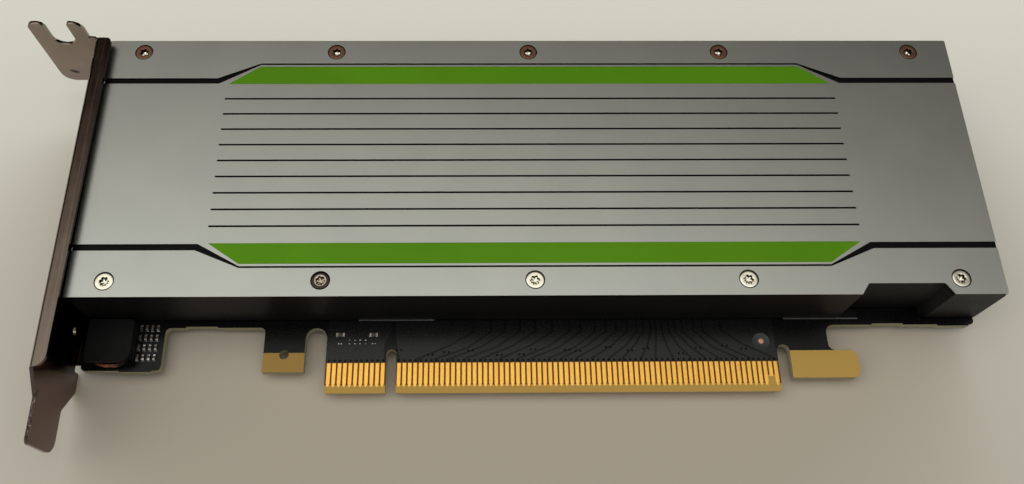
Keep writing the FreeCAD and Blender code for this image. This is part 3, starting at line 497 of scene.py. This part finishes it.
def sideSteps(paths):
    # paths is tracks x points x 2; the side step at a point is the mean of its two runs' normals
    run = np.diff(paths, axis=1)
    run = run / np.maximum(np.linalg.norm(run, axis=2, keepdims=True), 1e-9)
    normal = np.stack([-run[..., 1], run[..., 0]], -1)
    first, last = normal[:, :1], normal[:, -1:]
    mitre = np.concatenate([first, normal[:, 1:] + normal[:, :-1], last], 1)
    mitre = mitre / np.linalg.norm(mitre, axis=2, keepdims=True)
    fit = np.concatenate([first, normal[:, 1:], last], 1)
    return mitre / np.maximum((mitre * fit).sum(2, keepdims=True), 0.4)


def bands(profile):
    # faces along many paths at once: profile gives the four corners of the section, each as (spots, z)
    points = np.stack([np.concatenate([spots, np.full(spots.shape[:2] + (1,), z)], 2) for spots, z in profile], 2)
    count, steps = points.shape[:2]
    shift = np.arange(count)[:, None, None] * steps * 4
    return points.reshape(-1, 3), (gridFaces(steps, 4)[None, :, ::-1] + shift).reshape(-1, 4)


def ribbons(paths, width, height, z):
    # flat tracks on the solder side: a low trapezoid carried along each path, mitred at its bends
    mitre, half = sideSteps(paths), width / 2
    return bands([(paths + mitre * side, z - rise) for side, rise in
                  ((half + height, 0.0), (half, height), (-half, height), (-half - height, 0.0))])


def rearPaths(xs):
    # from each contact straight up, then slanting towards the processor, then straight on:
    # end = x + lean tanh((middle - x) / spread)
    t = traces
    i = np.arange(len(xs))
    end = xs + t["rearLean"] * np.tanh((t["rearMiddle"] - xs) / t["rearSpread"])
    levels = (t["rearStart"] + 0 * xs, t["rearKnee"][0] + t["rearKnee"][1] * (i % 2),
              t["rearTop"] - t["rearRun"][0] + t["rearRun"][1] * (i % 3), t["rearTop"] + 0 * xs)
    return np.stack([np.stack([x, level], 1) for x, level in zip((xs, xs, end, end), levels)], 1)


def pours(lines, gap, height):
    # copper areas between neighbouring lines, each keeping half a gap from the line on either side
    mitre = sideSteps(lines)
    near, far = lines[:-1] - mitre[:-1] * gap / 2, lines[1:] + mitre[1:] * gap / 2
    inward = (far - near) * height / np.maximum(np.linalg.norm(far - near, axis=2, keepdims=True), 1e-9)
    return bands([(far, 0.0), (far - inward, height), (near + inward, height), (near, 0.0)])


def frontLines():
    # lines that leave the contacts upwards, lean towards the processor and run straight on under the rail:
    # lean = most tanh((middle - x) / width)
    t = traces
    x = [t["lineFirst"]]
    while x[-1] < t["lineLast"]:
        x.append(x[-1] + chance.uniform(*t["lineStep"]))
    x = np.array([*x[1:-1], t["lineBeside"]])
    lean = t["lean"] * np.tanh((t["leanMiddle"] - x) / t["leanWidth"])
    # the outermost lines run nearly straight, beside the key slot and along the board's end
    (firstX, firstLean), (lastX, lastLean) = t["outermost"]
    x, lean = np.concatenate([[firstX], x, [lastX]]), np.concatenate([[firstLean], lean, [lastLean]])
    lift = np.concatenate([[0.0], chance.uniform(-t["lift"], t["lift"], x.size - 2), [0.0]])
    return np.stack([np.stack([x + share * lean, level + way * lift], 1) for share, level, way in t["levels"]], 1)


def flipped(points, faces, z):
    # the same relief laid on the solder side
    return points * (1, 1, -1) + (0, 0, z), faces[:, ::-1]


def joined(*parts):
    # several (points, faces) sets as one
    points, faces, count = [], [], 0
    for p, f in parts:
        points.append(p)
        faces.append(f + count)
        count += len(p)
    return np.concatenate(points), np.concatenate(faces)


def onBoard(x, y, margin=0.7):
    # true where a spot lies on the board, clear of its notches and holes
    left, right, low, high = board["outline"]
    inside = (x > left + margin) & (x < right - margin) & (y < high - margin) & (y > low + margin)
    for left, right, top in board["openings"]:
        inside &= ~((x > left - margin) & (x < right + margin) & (y < top + margin))
    return inside


def makeBoard():
    dress("circuit_board", boardMaterial())
    t = traces
    copper = plainFinish("maskOverCopper", t)[0]
    left = np.array([[(t["keyEdge"], y) for y in t["leftLevels"]], [*zip(t["leftEnds"], t["leftLevels"])]], float)
    front = [pours(lines, t["gap"], t["height"]) for lines in (frontLines(), left)]
    makePiece("frontTracks", *joined(*front), copper, "board_mask", close=False)
    # solder side: a track from every third contact, then short bundles across the open board
    rear = [ribbons(paths, width, t["height"], board["bottom"]) for paths, width in
            ((rearPaths(contactXs[::3]), t["rearWidth"]), (rearBundles(), bundles["width"]))]
    makePiece("rearTracks", *joined(*rear), copper, "board_mask", close=False)
    makePits()
    makeVias(copper)


bundles = dict(
    width=0.22, apart=0.55, runs=(9, 5, 6), shorter=0.23,
    # where each group starts, how many tracks it has and by how many eighths of a turn it heads off
    groups=((-6, 20, 6, 0), (4, 50, 7, 1), (34, 20, 7, 0), (48, 47, 6, -1), (66, 24, 5, 1), (-34, 24, 6, 0),
            (-30, 52, 6, -1), (78, 44, 6, 0), (-8, 62, 5, 0), (60, 61, 5, 1), (88, 26, 5, 0), (-46, 40, 4, 1)),
)


def rearBundles():
    # groups of parallel tracks: each group leaves one spot, bends by 45 degrees and runs on
    first, slanted, last = bundles["runs"]
    groups = []
    for x, y, count, eighths in bundles["groups"]:
        turn, bend = eighths * np.pi / 4, (eighths + 1) * np.pi / 4
        k = np.arange(count)[:, None]
        ahead, beyond = [np.array([math.cos(way), math.sin(way)]) for way in (turn, bend)]
        spots = [(x, y) + np.array([-ahead[1], ahead[0]]) * (k * bundles["apart"])]
        for way, run in ((ahead, first - bundles["shorter"] * k), (beyond, slanted),
                         (ahead, last + bundles["shorter"] * k)):
            spots.append(spots[-1] + way * run)
        groups.append(np.stack(spots, 1))
    tracks = np.concatenate(groups)
    return tracks[onBoard(tracks[..., 0], tracks[..., 1]).all(1)]


pits = dict(
    radius=0.21, heights=(0.018, 0.021, 0.0), sunk=0.002, row=6.08, pairs=16, apart=0.85, xs=(2.0, 65.0), sway=1.3,
    ys=(6.9, 8.7), colour=(0.0012, 0.0012, 0.0013), shade=(0.0020, 0.0018, 0.0018), driftSize=0.6,
    rough=(0.5, 0.65), grainSize=0.1, grainDepth=0.003, ior=1.2,
)


def makePits():
    # vias: dots painted dark as the shade in their holes, just above every contact, and a few pairs further up
    p = pits
    x = np.linspace(*p["xs"], p["pairs"]) + chance.uniform(-p["sway"], p["sway"], p["pairs"])
    y = chance.uniform(*p["ys"], p["pairs"])
    z = traces["height"] - p["sunk"]
    spots = [(contact, p["row"], z) for contact in contactXs]
    spots += [(left + step, level, z) for left, level in zip(x, y) for step in (0.0, p["apart"])]
    points, faces = revolved((0, 0.85 * p["radius"], p["radius"]), p["heights"], 12)
    dark = plainFinish("viaHoleShade", p)[0]
    makePiece("viaPits", *repeatAt(points, faces[:, ::-1], spots), dark, "board_mask", close=False)


vias = dict(
    radius=0.24, rise=0.03, xs=(-54, 109, 2.9), ys=(8, 67, 2.7), sway=(1.0, 0.9), share=0.42, margin=1.0,
    screwR=3.2,
    # fields that other parts take up: left, right, low, high
    taken=((8.5, 31.5, 30.5, 48.5), (-60.0, -47.5, 4.5, 22.5), (-60.0, -47.5, 48.5, 67.0)),
)


def makeVias(copper):
    # open vias between the parts of the solder side: a low ring with a filled dip in the middle
    v = vias
    r, rise = v["radius"], v["rise"]
    ring, faces = revolved((0, r * 0.42, r * 0.55, r * 0.9, r), (rise * 0.1, rise * 0.15, rise, rise, 0), 12)
    x, y = np.meshgrid(np.arange(*v["xs"]), np.arange(*v["ys"]))
    x, y = [a.ravel() + chance.uniform(-sway, sway, a.size) for a, sway in zip((x, y), v["sway"])]
    keep = onBoard(x, y, v["margin"]) & (chance.uniform(0, 1, x.size) < v["share"])
    for screwX, screwY in rearScrewSpots:
        keep &= (x - screwX) ** 2 + (y - screwY) ** 2 > v["screwR"] ** 2
    for left, right, low, high in v["taken"]:
        keep &= ~((x > left) & (x < right) & (y > low) & (y < high))
    rear = repeatAt(ring, faces[:, ::-1], np.stack([x[keep], y[keep], 0 * x[keep]], 1))
    makePiece("viaRings", *flipped(*rear, board["bottom"]), copper, "board_mask", close=False)


gold = dict(
    colour=(0.97, 0.530, 0.112), shade=(0.90, 0.455, 0.090), driftSize=1.6, stretch=(1, 0.3, 1),
    rough=(0.24, 0.40), grainSize=0.12, grainDepth=0.005, metal=1.0, edgeWidth=0.018,
    scratch=(math.pi / 2, 0.0, 25.0, 6.0, 0.004),
)


def makeContacts():
    material, tree, shader, where, under = plainFinish("contactGold", gold)
    scratched(tree, shader, where, gold, under)
    for node, name in (("contacts_component_side", "contactsFront"), ("contacts_solder_side", "contactsRear")):
        roundedCopy(node, name, material, "gold", gold["edgeWidth"], 1)


choke = dict(
    colour=(0.0065, 0.0065, 0.0072), shade=(0.0100, 0.0100, 0.0110), driftSize=1.8, rough=(0.40, 0.58),
    grainSize=0.16, grainDepth=0.012, speck=(0.026, 0.026, 0.028), speckSize=0.22, ior=1.22, edgeWidth=0.14,
    middle=(-51.55, 9.35), halfSize=(3.28, 4.23), squareness=3.6, wireR=0.27, low=0.592, pitch=0.583, turns=3,
    strands=7, lay=34, start=-1.9, steps=480, sides=28, wireShadeFrom=(-50.9, -49.9), wireShade=(0.030, 0.013, 0.010),
)
copperWire = dict(
    colour=(0.50, 0.185, 0.120), shade=(0.36, 0.11, 0.075), driftSize=0.8, rough=(0.20, 0.36), grainSize=0.2,
    grainDepth=0.003, metal=1.0, coat=0.4, coatRough=0.15,
)


def makeChoke():
    c = choke
    roundedCopy("choke_core", "chokeCore", plainFinish("ferrite", c)[0], "ferrite", c["edgeWidth"], 3)
    # winding: a rising superellipse |x/a|^n + |y/b|^n = 1, and around it a twisted bundle whose
    # radius swells over each strand, r = wireR (0.84 + 0.16 |cos(strands/2 (angle - lay along))|)
    along = np.linspace(0, 1, c["steps"])[:, None]
    angle = np.linspace(0, 2 * np.pi, c["sides"], endpoint=False)[None, :]
    sweep = along * 2 * np.pi * c["turns"] + c["start"]
    swell = c["wireR"] * (0.84 + 0.16 * np.abs(np.cos(c["strands"] / 2 * angle - c["lay"] * along * c["turns"])))
    n = c["squareness"]
    corner = (np.abs(np.cos(sweep)) ** n + np.abs(np.sin(sweep)) ** n) ** (-1 / n)
    x = c["middle"][0] + (c["halfSize"][0] * corner + swell * np.cos(angle)) * np.cos(sweep)
    y = c["middle"][1] + (c["halfSize"][1] * corner + swell * np.cos(angle)) * np.sin(sweep)
    z = c["low"] + (along * c["turns"] - 0.5) * c["pitch"] * (c["turns"] - 1) / c["turns"] + swell * np.sin(angle)
    # both ends close to a point
    tube = np.stack([x, y, z], -1)
    ends = [np.repeat(tube[i].mean(0)[None, None], c["sides"], 1) for i in (0, -1)]
    tube = np.concatenate([ends[0], tube, ends[1]], 0)
    wire, tree, shader, where = plainFinish("copperWire", copperWire)[:4]
    # painted shade over the half of the winding away from the bracket
    tinted(tree, shader, ramp(tree, splitXyz(tree, where)[0], *c["wireShadeFrom"]), c["wireShade"])
    makePiece("chokeWinding", tube.reshape(-1, 3), gridFaces(len(tube), c["sides"], True), wire, "copper",
              ("choke_winding",), 60)


def softBox(length, width, height, edge, base=0.0):
    # a box with chamfered edges, as rings of eight points between two poles: inset, full, full, inset
    def ring(inset, z):
        a, b = length / 2 - inset, width / 2 - inset
        return [(-a + edge, -b, z), (a - edge, -b, z), (a, -b + edge, z), (a, b - edge, z),
                (a - edge, b, z), (-a + edge, b, z), (-a, b - edge, z), (-a, -b + edge, z)]
    inset, top = edge * 0.6, base + height
    rings = [[(0, 0, base)] * 8, ring(inset, base), ring(0, base + inset), ring(0, top - inset), ring(inset, top),
             [(0, 0, top)] * 8]
    return np.array(rings, float).reshape(-1, 3), gridFaces(6, 8, True)


chip = dict(
    endShare=0.24, endEdge=0.045, bodyInset=(0.06, 0.05, 0.03), bodyEdge=0.03, bodyBase=0.02,
    slopeStart=0.02, slopeRun=0.20, slopeFlare=0.04, slopeHigh=0.72, slopeBase=0.005,
)


def chipParts(size):
    # ceramic body and two metal ends of a chip capacitor, with a solder slope at each end:
    # z = high (1 - run)^2 (1 - across^2 / 4)
    length, width, height = size
    metal = length * chip["endShare"]
    body = softBox(*[a - b for a, b in zip(size, chip["bodyInset"])], chip["bodyEdge"], chip["bodyBase"])
    run, across = np.linspace(0, 1, 5)[:, None], np.linspace(-1, 1, 5)[None, :]
    ends = []
    for side in (-1, 1):
        points, faces = softBox(metal, width, height, chip["endEdge"])
        ends.append((points + (side * (length - metal) / 2, 0, 0), faces))
        x = side * (length / 2 - chip["slopeStart"] + chip["slopeRun"] * run) + 0 * across
        y = across * (width / 2 + chip["slopeFlare"] * run)
        z = height * chip["slopeHigh"] * (1 - run) ** 2 * (1 - 0.25 * across ** 2) + chip["slopeBase"]
        ends.append((np.stack([x, y, z], -1).reshape(-1, 3), gridFaces(5, 5)[:, ::-side]))
    return body, joined(*ends)


capacitors = dict(
    small=(1.0, 0.5, 0.35), large=(1.6, 0.8, 0.45), chokeFirst=(-47.0, 6.85), chokePitch=(1.05, 1.9),
    chokeCount=(4, 4), fingerPlaces=((-9.6, 10.95), (-3.4, 10.95)), phaseX=85.6, phaseSpread=1.2,
    rearFirst=(11.0, 33.1), rearPitch=(3.6, 3.2), rearCount=(6, 5),
    dotRows=(10.05, 9.35), dotXs=(-7.9, -6.9, -5.9, -4.9), edgeDotXs=(-9.9, -9.4, -3.6, -3.1),
    dotSize=(0.19, 0.15, 0.085),
)
phaseYs = 41.1 + (np.arange(5) - 2) * 9.2
rearScrewSpots = [(-11.8, 16.9), (-11.8, 65.6), (64.5, 16.9), (64.5, 65.6), (-53.6, 17.4), (-53.6, 62.8),
                  (2.0, 18.1), (2.0, 60.9), (38.0, 18.1), (38.0, 60.9)]


def evenPlaces(first, pitch, count):
    # a block of places at an even pitch, on the board's face
    return [(first[0] + i * pitch[0], first[1] + j * pitch[1], 0.0)
            for i in range(count[0]) for j in range(count[1])]


def makeCapacitors():
    c = capacitors
    smallPlaces = evenPlaces(c["chokeFirst"], c["chokePitch"], c["chokeCount"])
    upright = np.full(len(smallPlaces), math.pi / 2)
    largePlaces = [(x, y, 0.0) for x, y in c["fingerPlaces"]]
    largePlaces += [(c["phaseX"], y + side * c["phaseSpread"], 0.0) for y in phaseYs for side in (-1, 1)]
    rearPlaces = evenPlaces(c["rearFirst"], c["rearPitch"], c["rearCount"])
    smallBody, smallEnds = chipParts(c["small"])
    largeBody, largeEnds = chipParts(c["large"])
    ceramic = simpleFinish("ceramicTan", (0.115, 0.080, 0.060), (0.085, 0.060, 0.045), 0.9, (0.45, 0.6), 0.1, 0.004)
    solder = simpleFinish("solderTin", (0.78, 0.77, 0.75), (0.11, 0.11, 0.11), 0.75, (0.18, 0.34), 0.15, 0.006,
                          metal=1.0)
    bodies = joined(repeatAt(*smallBody, smallPlaces, upright), repeatAt(*largeBody, largePlaces))
    makePiece("chipCapacitors", *bodies, ceramic, "capacitor_ceramic", ("ceramic_capacitors",), 30)
    rear = flipped(*repeatAt(*largeBody, rearPlaces), board["bottom"])
    makePiece("rearChipCapacitors", *rear, ceramic, "capacitor_ceramic", ("rear_capacitors",), 30)
    ends = joined(repeatAt(*smallEnds, smallPlaces, upright), repeatAt(*largeEnds, largePlaces),
                  flipped(*repeatAt(*largeEnds, rearPlaces), board["bottom"]))
    makePiece("solderEnds", *ends, solder, "screw_steel", None, 30, close=False)
    # bright test dots between the two parts beside the key slot, each a low dome on an ellipse
    dots = [(x, y, 0.0) for y in c["dotRows"] for x in c["dotXs"]]
    dots += [(x, c["dotRows"][1], 0.0) for x in c["edgeDotXs"]]
    steep = np.linspace(0, np.pi / 2, 6)
    a, b, high = c["dotSize"]
    dome, faces = revolved(a * np.sin(steep), high * np.cos(steep), 14)
    makePiece("solderDots", *repeatAt(dome * (1, b / a, 1), faces, dots), solder, "screw_steel", None, 60)
    return solder


fiducial = dict(spot=(69.4, 9.5), dotR=0.5, clearR=1.6, high=0.04, segments=40)


def makeFiducial():
    # copper dot in a round opening of the mask
    dot, clear, high = fiducial["dotR"], fiducial["clearR"], fiducial["high"]
    copper = simpleFinish("fiducialCopper", (0.78, 0.40, 0.30), (0.66, 0.30, 0.22), 0.5, (0.3, 0.45), 0.1, 0.003,
                          metal=1.0)
    laminate = simpleFinish("openedLaminate", (0.050, 0.056, 0.055), (0.040, 0.045, 0.046), 0.8, (0.4, 0.55), 0.2,
                            0.004)
    rim = (dot + 0.02, clear - 0.03, clear, clear + 0.05)
    for name, radii, heights, material in (("Dot", (0, dot - 0.02, dot), (high, high, 0.016), copper),
                                           ("Opening", rim, (0.02, 0.02, high, 0.0), laminate)):
        points, faces = revolved(radii, heights, fiducial["segments"], fiducial["spot"])
        makePiece("fiducial" + name, points, faces[:, ::-1], material, "gold", close=False)


rearScrew = dict(
    headR=2.2, shankR=1.2, length=4.2, lobeOuter=0.98, lobeInner=0.70, depth=0.62, segments=60,
    washer=0.40, sheet=0.65, colour=(0.66, 0.66, 0.65), shade=(0.52, 0.52, 0.52),
    rough=(0.16, 0.30), ringPitch=0.16, ringDepth=0.0016, washerEdge=0.06,
)


def headShape(height):
    # low cylinder head seen from below: the recess, the face, the rounded rim and the shank
    head, shank, low = rearScrew["headR"], rearScrew["shankR"], -rearScrew["length"]
    floor = height - min(rearScrew["depth"], height * 0.75)
    lobed = ((0.0, 0.0, floor - 0.08), (0.96, 0.0, floor), (1.0, 0.0, height - 0.08), (1.0, 0.06, height))
    plain = ((1.3, height), (head - 0.22, height), (head - 0.10, height - 0.03), (head - 0.02, height - 0.12),
             (head, height - 0.22), (head, 0.04), (head - 0.04, 0.0), (shank, 0.0), (shank, low + 0.25),
             (shank - 0.25, low), (0.0, low))
    return lobedHead(rearScrew, lobed, plain)


def makeRearScrews():
    material = screwSteel("screwPlating", rearScrew, rearScrewSpots)[0]
    # each kind of screw seats on the board, or on the sheet or washer below it
    for kind, spots, below in (("board", rearScrewSpots[:4], 0.0),
                               ("bracket", rearScrewSpots[4:6], rearScrew["sheet"]),
                               ("clamp", rearScrewSpots[6:], rearScrew["washer"])):
        node, seat = kind + "_screws", board["bottom"] - below
        places = [(x, y, 0.0) for x, y in spots]
        head = repeatAt(*headShape(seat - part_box(node)[0][2] / mm), places,
                        chance.uniform(0, np.pi / 3, len(places)))
        makePiece(kind + "Screws", *flipped(*head, seat), material, "screw_steel", (node,), 38)
    roundedCopy("clamp_washers", "clampWashers", material, "screw_steel", rearScrew["washerEdge"], 2)


leads = dict(
    size=(0.30, 0.62, 0.16, 0.04), tabSize=(0.9, 2.6, 1.2, 0.06), tabX=90.5, tabSide=3.4,
    # rows of leads: first x, pitch, how many, the middle y of their package and their distance from it
    rows=[(78.95, 0.62, 7, y, 3.05) for y in phaseYs] + [(99.5, 0.75, 9, 37.5, 3.55), (99.6, 1.27, 4, 50.0, 2.6)],
)


def makeRegulator(solder):
    epoxy = simpleFinish("mouldedEpoxy", (0.017, 0.017, 0.018), (0.023, 0.023, 0.024), 1.6, (0.42, 0.56), 0.09,
                         0.008)
    iron = simpleFinish("pressedIron", (0.055, 0.055, 0.058), (0.085, 0.083, 0.082), 1.2, (0.45, 0.62), 0.14, 0.02,
                        speck=(0.14, 0.135, 0.13), speckSize=0.18)
    case = simpleFinish("polymerCase", (0.030, 0.027, 0.024), (0.042, 0.038, 0.034), 1.5, (0.35, 0.5), 0.12, 0.006)
    for first, second, *look in (("regulator", "inductors", iron, "ferrite", 0.16, 2),
                                 ("power", "stages", epoxy, "moulded_epoxy", 0.05, 1),
                                 ("polymer", "capacitors", case, "polymer_case", 0.09, 2),
                                 ("controller", "chips", epoxy, "moulded_epoxy", 0.06, 1),
                                 ("memory", "chips", epoxy, "moulded_epoxy", 0.05, 1)):
        roundedCopy(first + "_" + second, first + second.capitalize(), *look)
    # tinned leads along the long sides of the small packages, and the inductors' end tabs
    spots = [(x + pitch * i, y + side * away, 0.0) for x, pitch, count, y, away in leads["rows"]
             for i in range(count) for side in (-1, 1)]
    tabSpots = [(leads["tabX"] + side * leads["tabSide"], (a + b) / 2, 0.0) for a, b in zip(phaseYs, phaseYs[1:])
                for side in (-1, 1)]
    both = joined(repeatAt(*softBox(*leads["size"]), spots), repeatAt(*softBox(*leads["tabSize"]), tabSpots))
    makePiece("tinnedLeads", *both, solder, "screw_steel", None, 30)


def makeProcessor():
    dress("processor_substrate", simpleFinish("packageLaminate", (0.020, 0.085, 0.040), (0.016, 0.070, 0.034), 2.5,
                                              (0.3, 0.42), 0.3, 0.003, coat=0.2, coatRough=0.2))
    dress("processor_die", simpleFinish("dieSilicon", (0.060, 0.062, 0.072), (0.048, 0.050, 0.060), 6.0,
                                        (0.10, 0.16), 0.5, 0.0006))
    dress("thermal_paste", simpleFinish("greyPaste", (0.36, 0.36, 0.36), (0.30, 0.30, 0.31), 2.0, (0.5, 0.66), 0.25,
                                        0.02))
    dress("memory_pads", simpleFinish("gapPad", (0.20, 0.235, 0.30), (0.17, 0.20, 0.26), 1.8, (0.62, 0.78), 0.2,
                                      0.015))


bracket = dict(
    colour=(0.300, 0.245, 0.205), shade=(0.245, 0.196, 0.164), driftSize=9.0, rough=(0.13, 0.22), grainSize=0.35,
    grainDepth=0.003, metal=1.0, edgeWidth=0.08, outerWidth=0.12, stretch=(1, 0.35, 1),
    scratch=(0.0, 1.2, 22.0, 1.4, 0.002), waveSize=7.0, waveDepth=0.03,
    dent=(-67.6, 4.1), dentSize=(1.15, 0.70), dentLean=-0.5, dentDepth=0.10, dentColour=(0.060, 0.045, 0.042),
    dentFrom=60.0, dentDark=1.6, tongueHigh=11.42, tongueTop=-2.0, tornBand=0.35, tornSize=0.45,
    tornSpread=(0.42, 0.58), tornDepth=0.12, tornDark=0.7, stain=(0.036, 0.020, 0.016), stainShare=(0.86, 1.02),
    stainFrom=(-58.95, 14.9), upperShadeRise=(-62.0, 56.0), streakStretch=0.10, streakSize=0.9,
    highlightLine=(-57.22, 0.07), highlightShare=0.22, tongueShadeShare=0.35, tongueShadeFrom=(9.0, 1.0),
    tongueShade=(0.10, 0.020, 0.054), black=(0.020, 0.014, 0.012), shadeBlackFrom=(-58.80, 3.4, 5.6),
    flangeEnd=(((-57.4, 62.0, 14.3), (-56.4, 70.0, 15.5), (0.50, 0, 0)),),
)


def makeBracket():
    b = bracket
    material, tree, shader, where, under = plainFinish("nickelSteel", b)
    under = scratched(tree, shader, where, b, under)
    # large soft waviness of the pressed sheet
    own = inMillimetres(tree)
    under = bumped(tree, shader, noise(tree, own, b["waveSize"], 2.0), b["waveDepth"], under)
    # a small dent in the screw tab: depth = 1 - (u/a)^2 - (v/b)^2 around its middle
    x, y, z = splitXyz(tree, own)
    dx, dz = reckon(tree, "SUBTRACT", x, b["dent"][0]), reckon(tree, "SUBTRACT", z, b["dent"][1])
    c, s = math.cos(b["dentLean"]), math.sin(b["dentLean"])
    wide, high = b["dentSize"]
    u = reckon(tree, "MULTIPLY_ADD", dx, c / wide, allOf(tree, dz, s / wide))
    v = reckon(tree, "MULTIPLY_ADD", dz, c / high, allOf(tree, dx, -s / high))
    away = reckon(tree, "MULTIPLY_ADD", u, u, allOf(tree, v, v))
    dent = allOf(tree, reckon(tree, "SUBTRACT", 1.0, away, clamp=True), within(tree, y, b["dentFrom"]))
    under = bumped(tree, shader, dent, -b["dentDepth"], under)
    # torn metal along the punched edge of the tongue
    edge = allOf(tree, within(tree, z, b["tongueHigh"] - b["tornBand"]), within(tree, y, None, b["tongueTop"]))
    ragged = allOf(tree, edge, noise(tree, own, b["tornSize"], 4.0, spread=b["tornSpread"]))
    bumped(tree, shader, ragged, b["tornDepth"], under)
    mark = reckon(tree, "MAXIMUM", reckon(tree, "MULTIPLY", dent, b["dentDark"], clamp=True),
                  allOf(tree, ragged, b["tornDark"]))
    # brown streaks along the flange, with painted shade deepening them towards its upper end and a painted
    # highlight along one line there;
    # the tongue is painted darker as shade, and what lies under the cover's end is painted black as shade
    streaks = noise(tree, inMillimetres(tree, (1, b["streakStretch"], 1)), b["streakSize"], 3.0, *b["stainShare"])
    # painted highlight: a lighter line along the flange's rounded edge
    highlighted = reckon(tree, "COMPARE", x, *b["highlightLine"])
    streaks = allOf(tree, streaks, reckon(tree, "MULTIPLY_ADD", highlighted, -b["highlightShare"], 1.0))
    above = within(tree, z, b["stainFrom"][1])
    below = reckon(tree, "SUBTRACT", 1.0, above)
    flange = allOf(tree, within(tree, x, b["stainFrom"][0]), above, ramp(tree, y, *b["upperShadeRise"]), streaks)
    # painted shade: the tongue darkens towards its lower end
    shadedTongue = allOf(tree, ramp(tree, y, *b["tongueShadeFrom"]), b["tongueShadeShare"], below)
    # painted shade: the inner face in the gap under the cover's end is near black
    shadedUnderCover = allOf(tree, within(tree, x, b["shadeBlackFrom"][0]), ramp(tree, y, *b["shadeBlackFrom"][1:]), below)
    for share, colour in ((shadedTongue, "tongueShade"), (flange, "stain"), (shadedUnderCover, "black"), (mark, "dentColour")):
        tinted(tree, shader, share, b[colour])
    roundedCopy("slot_bracket", "slotBracket", material, "nickel_steel", b["edgeWidth"], 2, b["outerWidth"],
                b["flangeEnd"])


studio = dict(
    floorColour=(0.645, 0.563, 0.474), floorRough=0.8, floorHalf=2500, floorGap=0.01,
    axis=(-0.12, -0.75, 0.62), ramp=(0.02, 0.42), dim=0.060, bright=1.36,
    # each fade: from, to, and the strength at both
    lowFade=(0.05, 0.55, 0.25, 1.0), frontFade=(0.58, 0.88, 1.0, 0.22), rightFade=(0.19, 0.64, 1.0, 0.45),
    dimTint=(1.0, 0.90, 0.80), brightTint=(0.985, 1.0, 0.925), lampSize=(1.7, 0.10), lampAt=(0.02, 0.42, 0.085),
    lampAim=(0.02, 0.03, 0.0), lampPower=9.2, lampTint=(0.82, 1.0, 1.12),
)


def makeStudio():
    s = studio
    ends = np.linspace(-s["floorHalf"], s["floorHalf"], 3)
    x, y = np.meshgrid(ends, ends)
    points = np.stack([x, y, np.full_like(x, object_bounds()[0][2] / mm - s["floorGap"])], -1).reshape(-1, 3)
    mesh = newMesh("floor", points, gridFaces(3, 3))
    floor = intoScene("floor", mesh)
    material, tree, shader = newMaterial("palePaper")
    shader.inputs["Base Color"].default_value = (*s["floorColour"], 1)
    shader.inputs["Roughness"].default_value = s["floorRough"]
    mesh.materials.append(material)
    # the room: dim behind the card and brighter overhead and in front, by the direction's share along
    # one axis, and dimmer again near the floor, close round that axis and to the right
    world = bpy.data.worlds.new("studioRoom")
    bpy.context.scene.world = world
    world.use_nodes = True
    tree = world.node_tree
    heading = put(tree, "ShaderNodeTexCoord").outputs["Generated"]
    share = put(tree, "ShaderNodeVectorMath", {0: heading, 1: s["axis"]}, operation="DOT_PRODUCT").outputs["Value"]
    rise = ramp(tree, share, *s["ramp"], kind="SMOOTHSTEP")
    ways = splitXyz(tree, heading)
    strength = reckon(tree, "MULTIPLY_ADD", rise, s["bright"] - s["dim"], s["dim"])
    for value, fade in ((ways[2], "lowFade"), (share, "frontFade"), (ways[0], "rightFade")):
        strength = allOf(tree, strength, ramp(tree, value, *s[fade], kind="SMOOTHSTEP"))
    sky = tree.nodes["Background"]
    tree.links.new(strength, sky.inputs["Strength"])
    tree.links.new(blend(tree, rise, s["dimTint"], s["brightTint"]), sky.inputs["Color"])
    # a low strip lamp behind the card lights its rear side and leaves no reflection
    lamp = bpy.data.lights.new("backWindow", "AREA")
    lamp.shape, lamp.size, lamp.size_y = "RECTANGLE", *s["lampSize"]
    lamp.energy, lamp.color = s["lampPower"], s["lampTint"]
    window = intoScene("backWindow", lamp)
    window.location = s["lampAt"]
    window.visible_glossy = False
    window.rotation_euler = (Vector(s["lampAim"]) - Vector(s["lampAt"])).to_track_quat("-Z", "Y").to_euler()


viewpoint = dict(
    place=(16.0506, -42.2725, 165.1492), focal=916.26, centre=(488.87, 230.70), frameSize=(1024, 484),
    filmWidth=36.0,
    right=(0.99991452, -0.00793548, 0.01039182), up=(0.00294425, 0.91101045, 0.41237276),
    back=(-0.01273944, -0.41230692, 0.91095593), clip=(0.005, 20.0),
)


def makeCamera():
    v = viewpoint
    wide, high = v["frameSize"]
    data = bpy.data.cameras.new("cardCamera")
    data.sensor_fit, data.sensor_width = "HORIZONTAL", v["filmWidth"]
    data.lens = v["focal"] * v["filmWidth"] / wide
    data.shift_x = (wide / 2 - v["centre"][0]) / wide
    data.shift_y = (v["centre"][1] - high / 2) / wide
    data.clip_start, data.clip_end = v["clip"]
    camera = intoScene("cardCamera", data)
    axes = Matrix([v["right"], v["up"], v["back"]]).transposed().to_4x4()
    camera.matrix_world = Matrix.Translation(Vector(v["place"]) * mm) @ axes
    bpy.context.scene.camera = camera


makeCamera()
print("camera set")
makeCover()
makeEnamel()
makeCoverScrews()
print("cover, bands and screws made")
makeHeatsink()
makeBoard()
makeContacts()
print("heatsink, board and contacts made")
makeChoke()
solder = makeCapacitors()
makeFiducial()
makeRearScrews()
makeRegulator(solder)
makeProcessor()
print("small parts made")
makeBracket()
makeStudio()
print("bracket and studio made")
bpy.context.scene.view_settings.view_transform = "Standard"
bpy.context.view_layer.update()
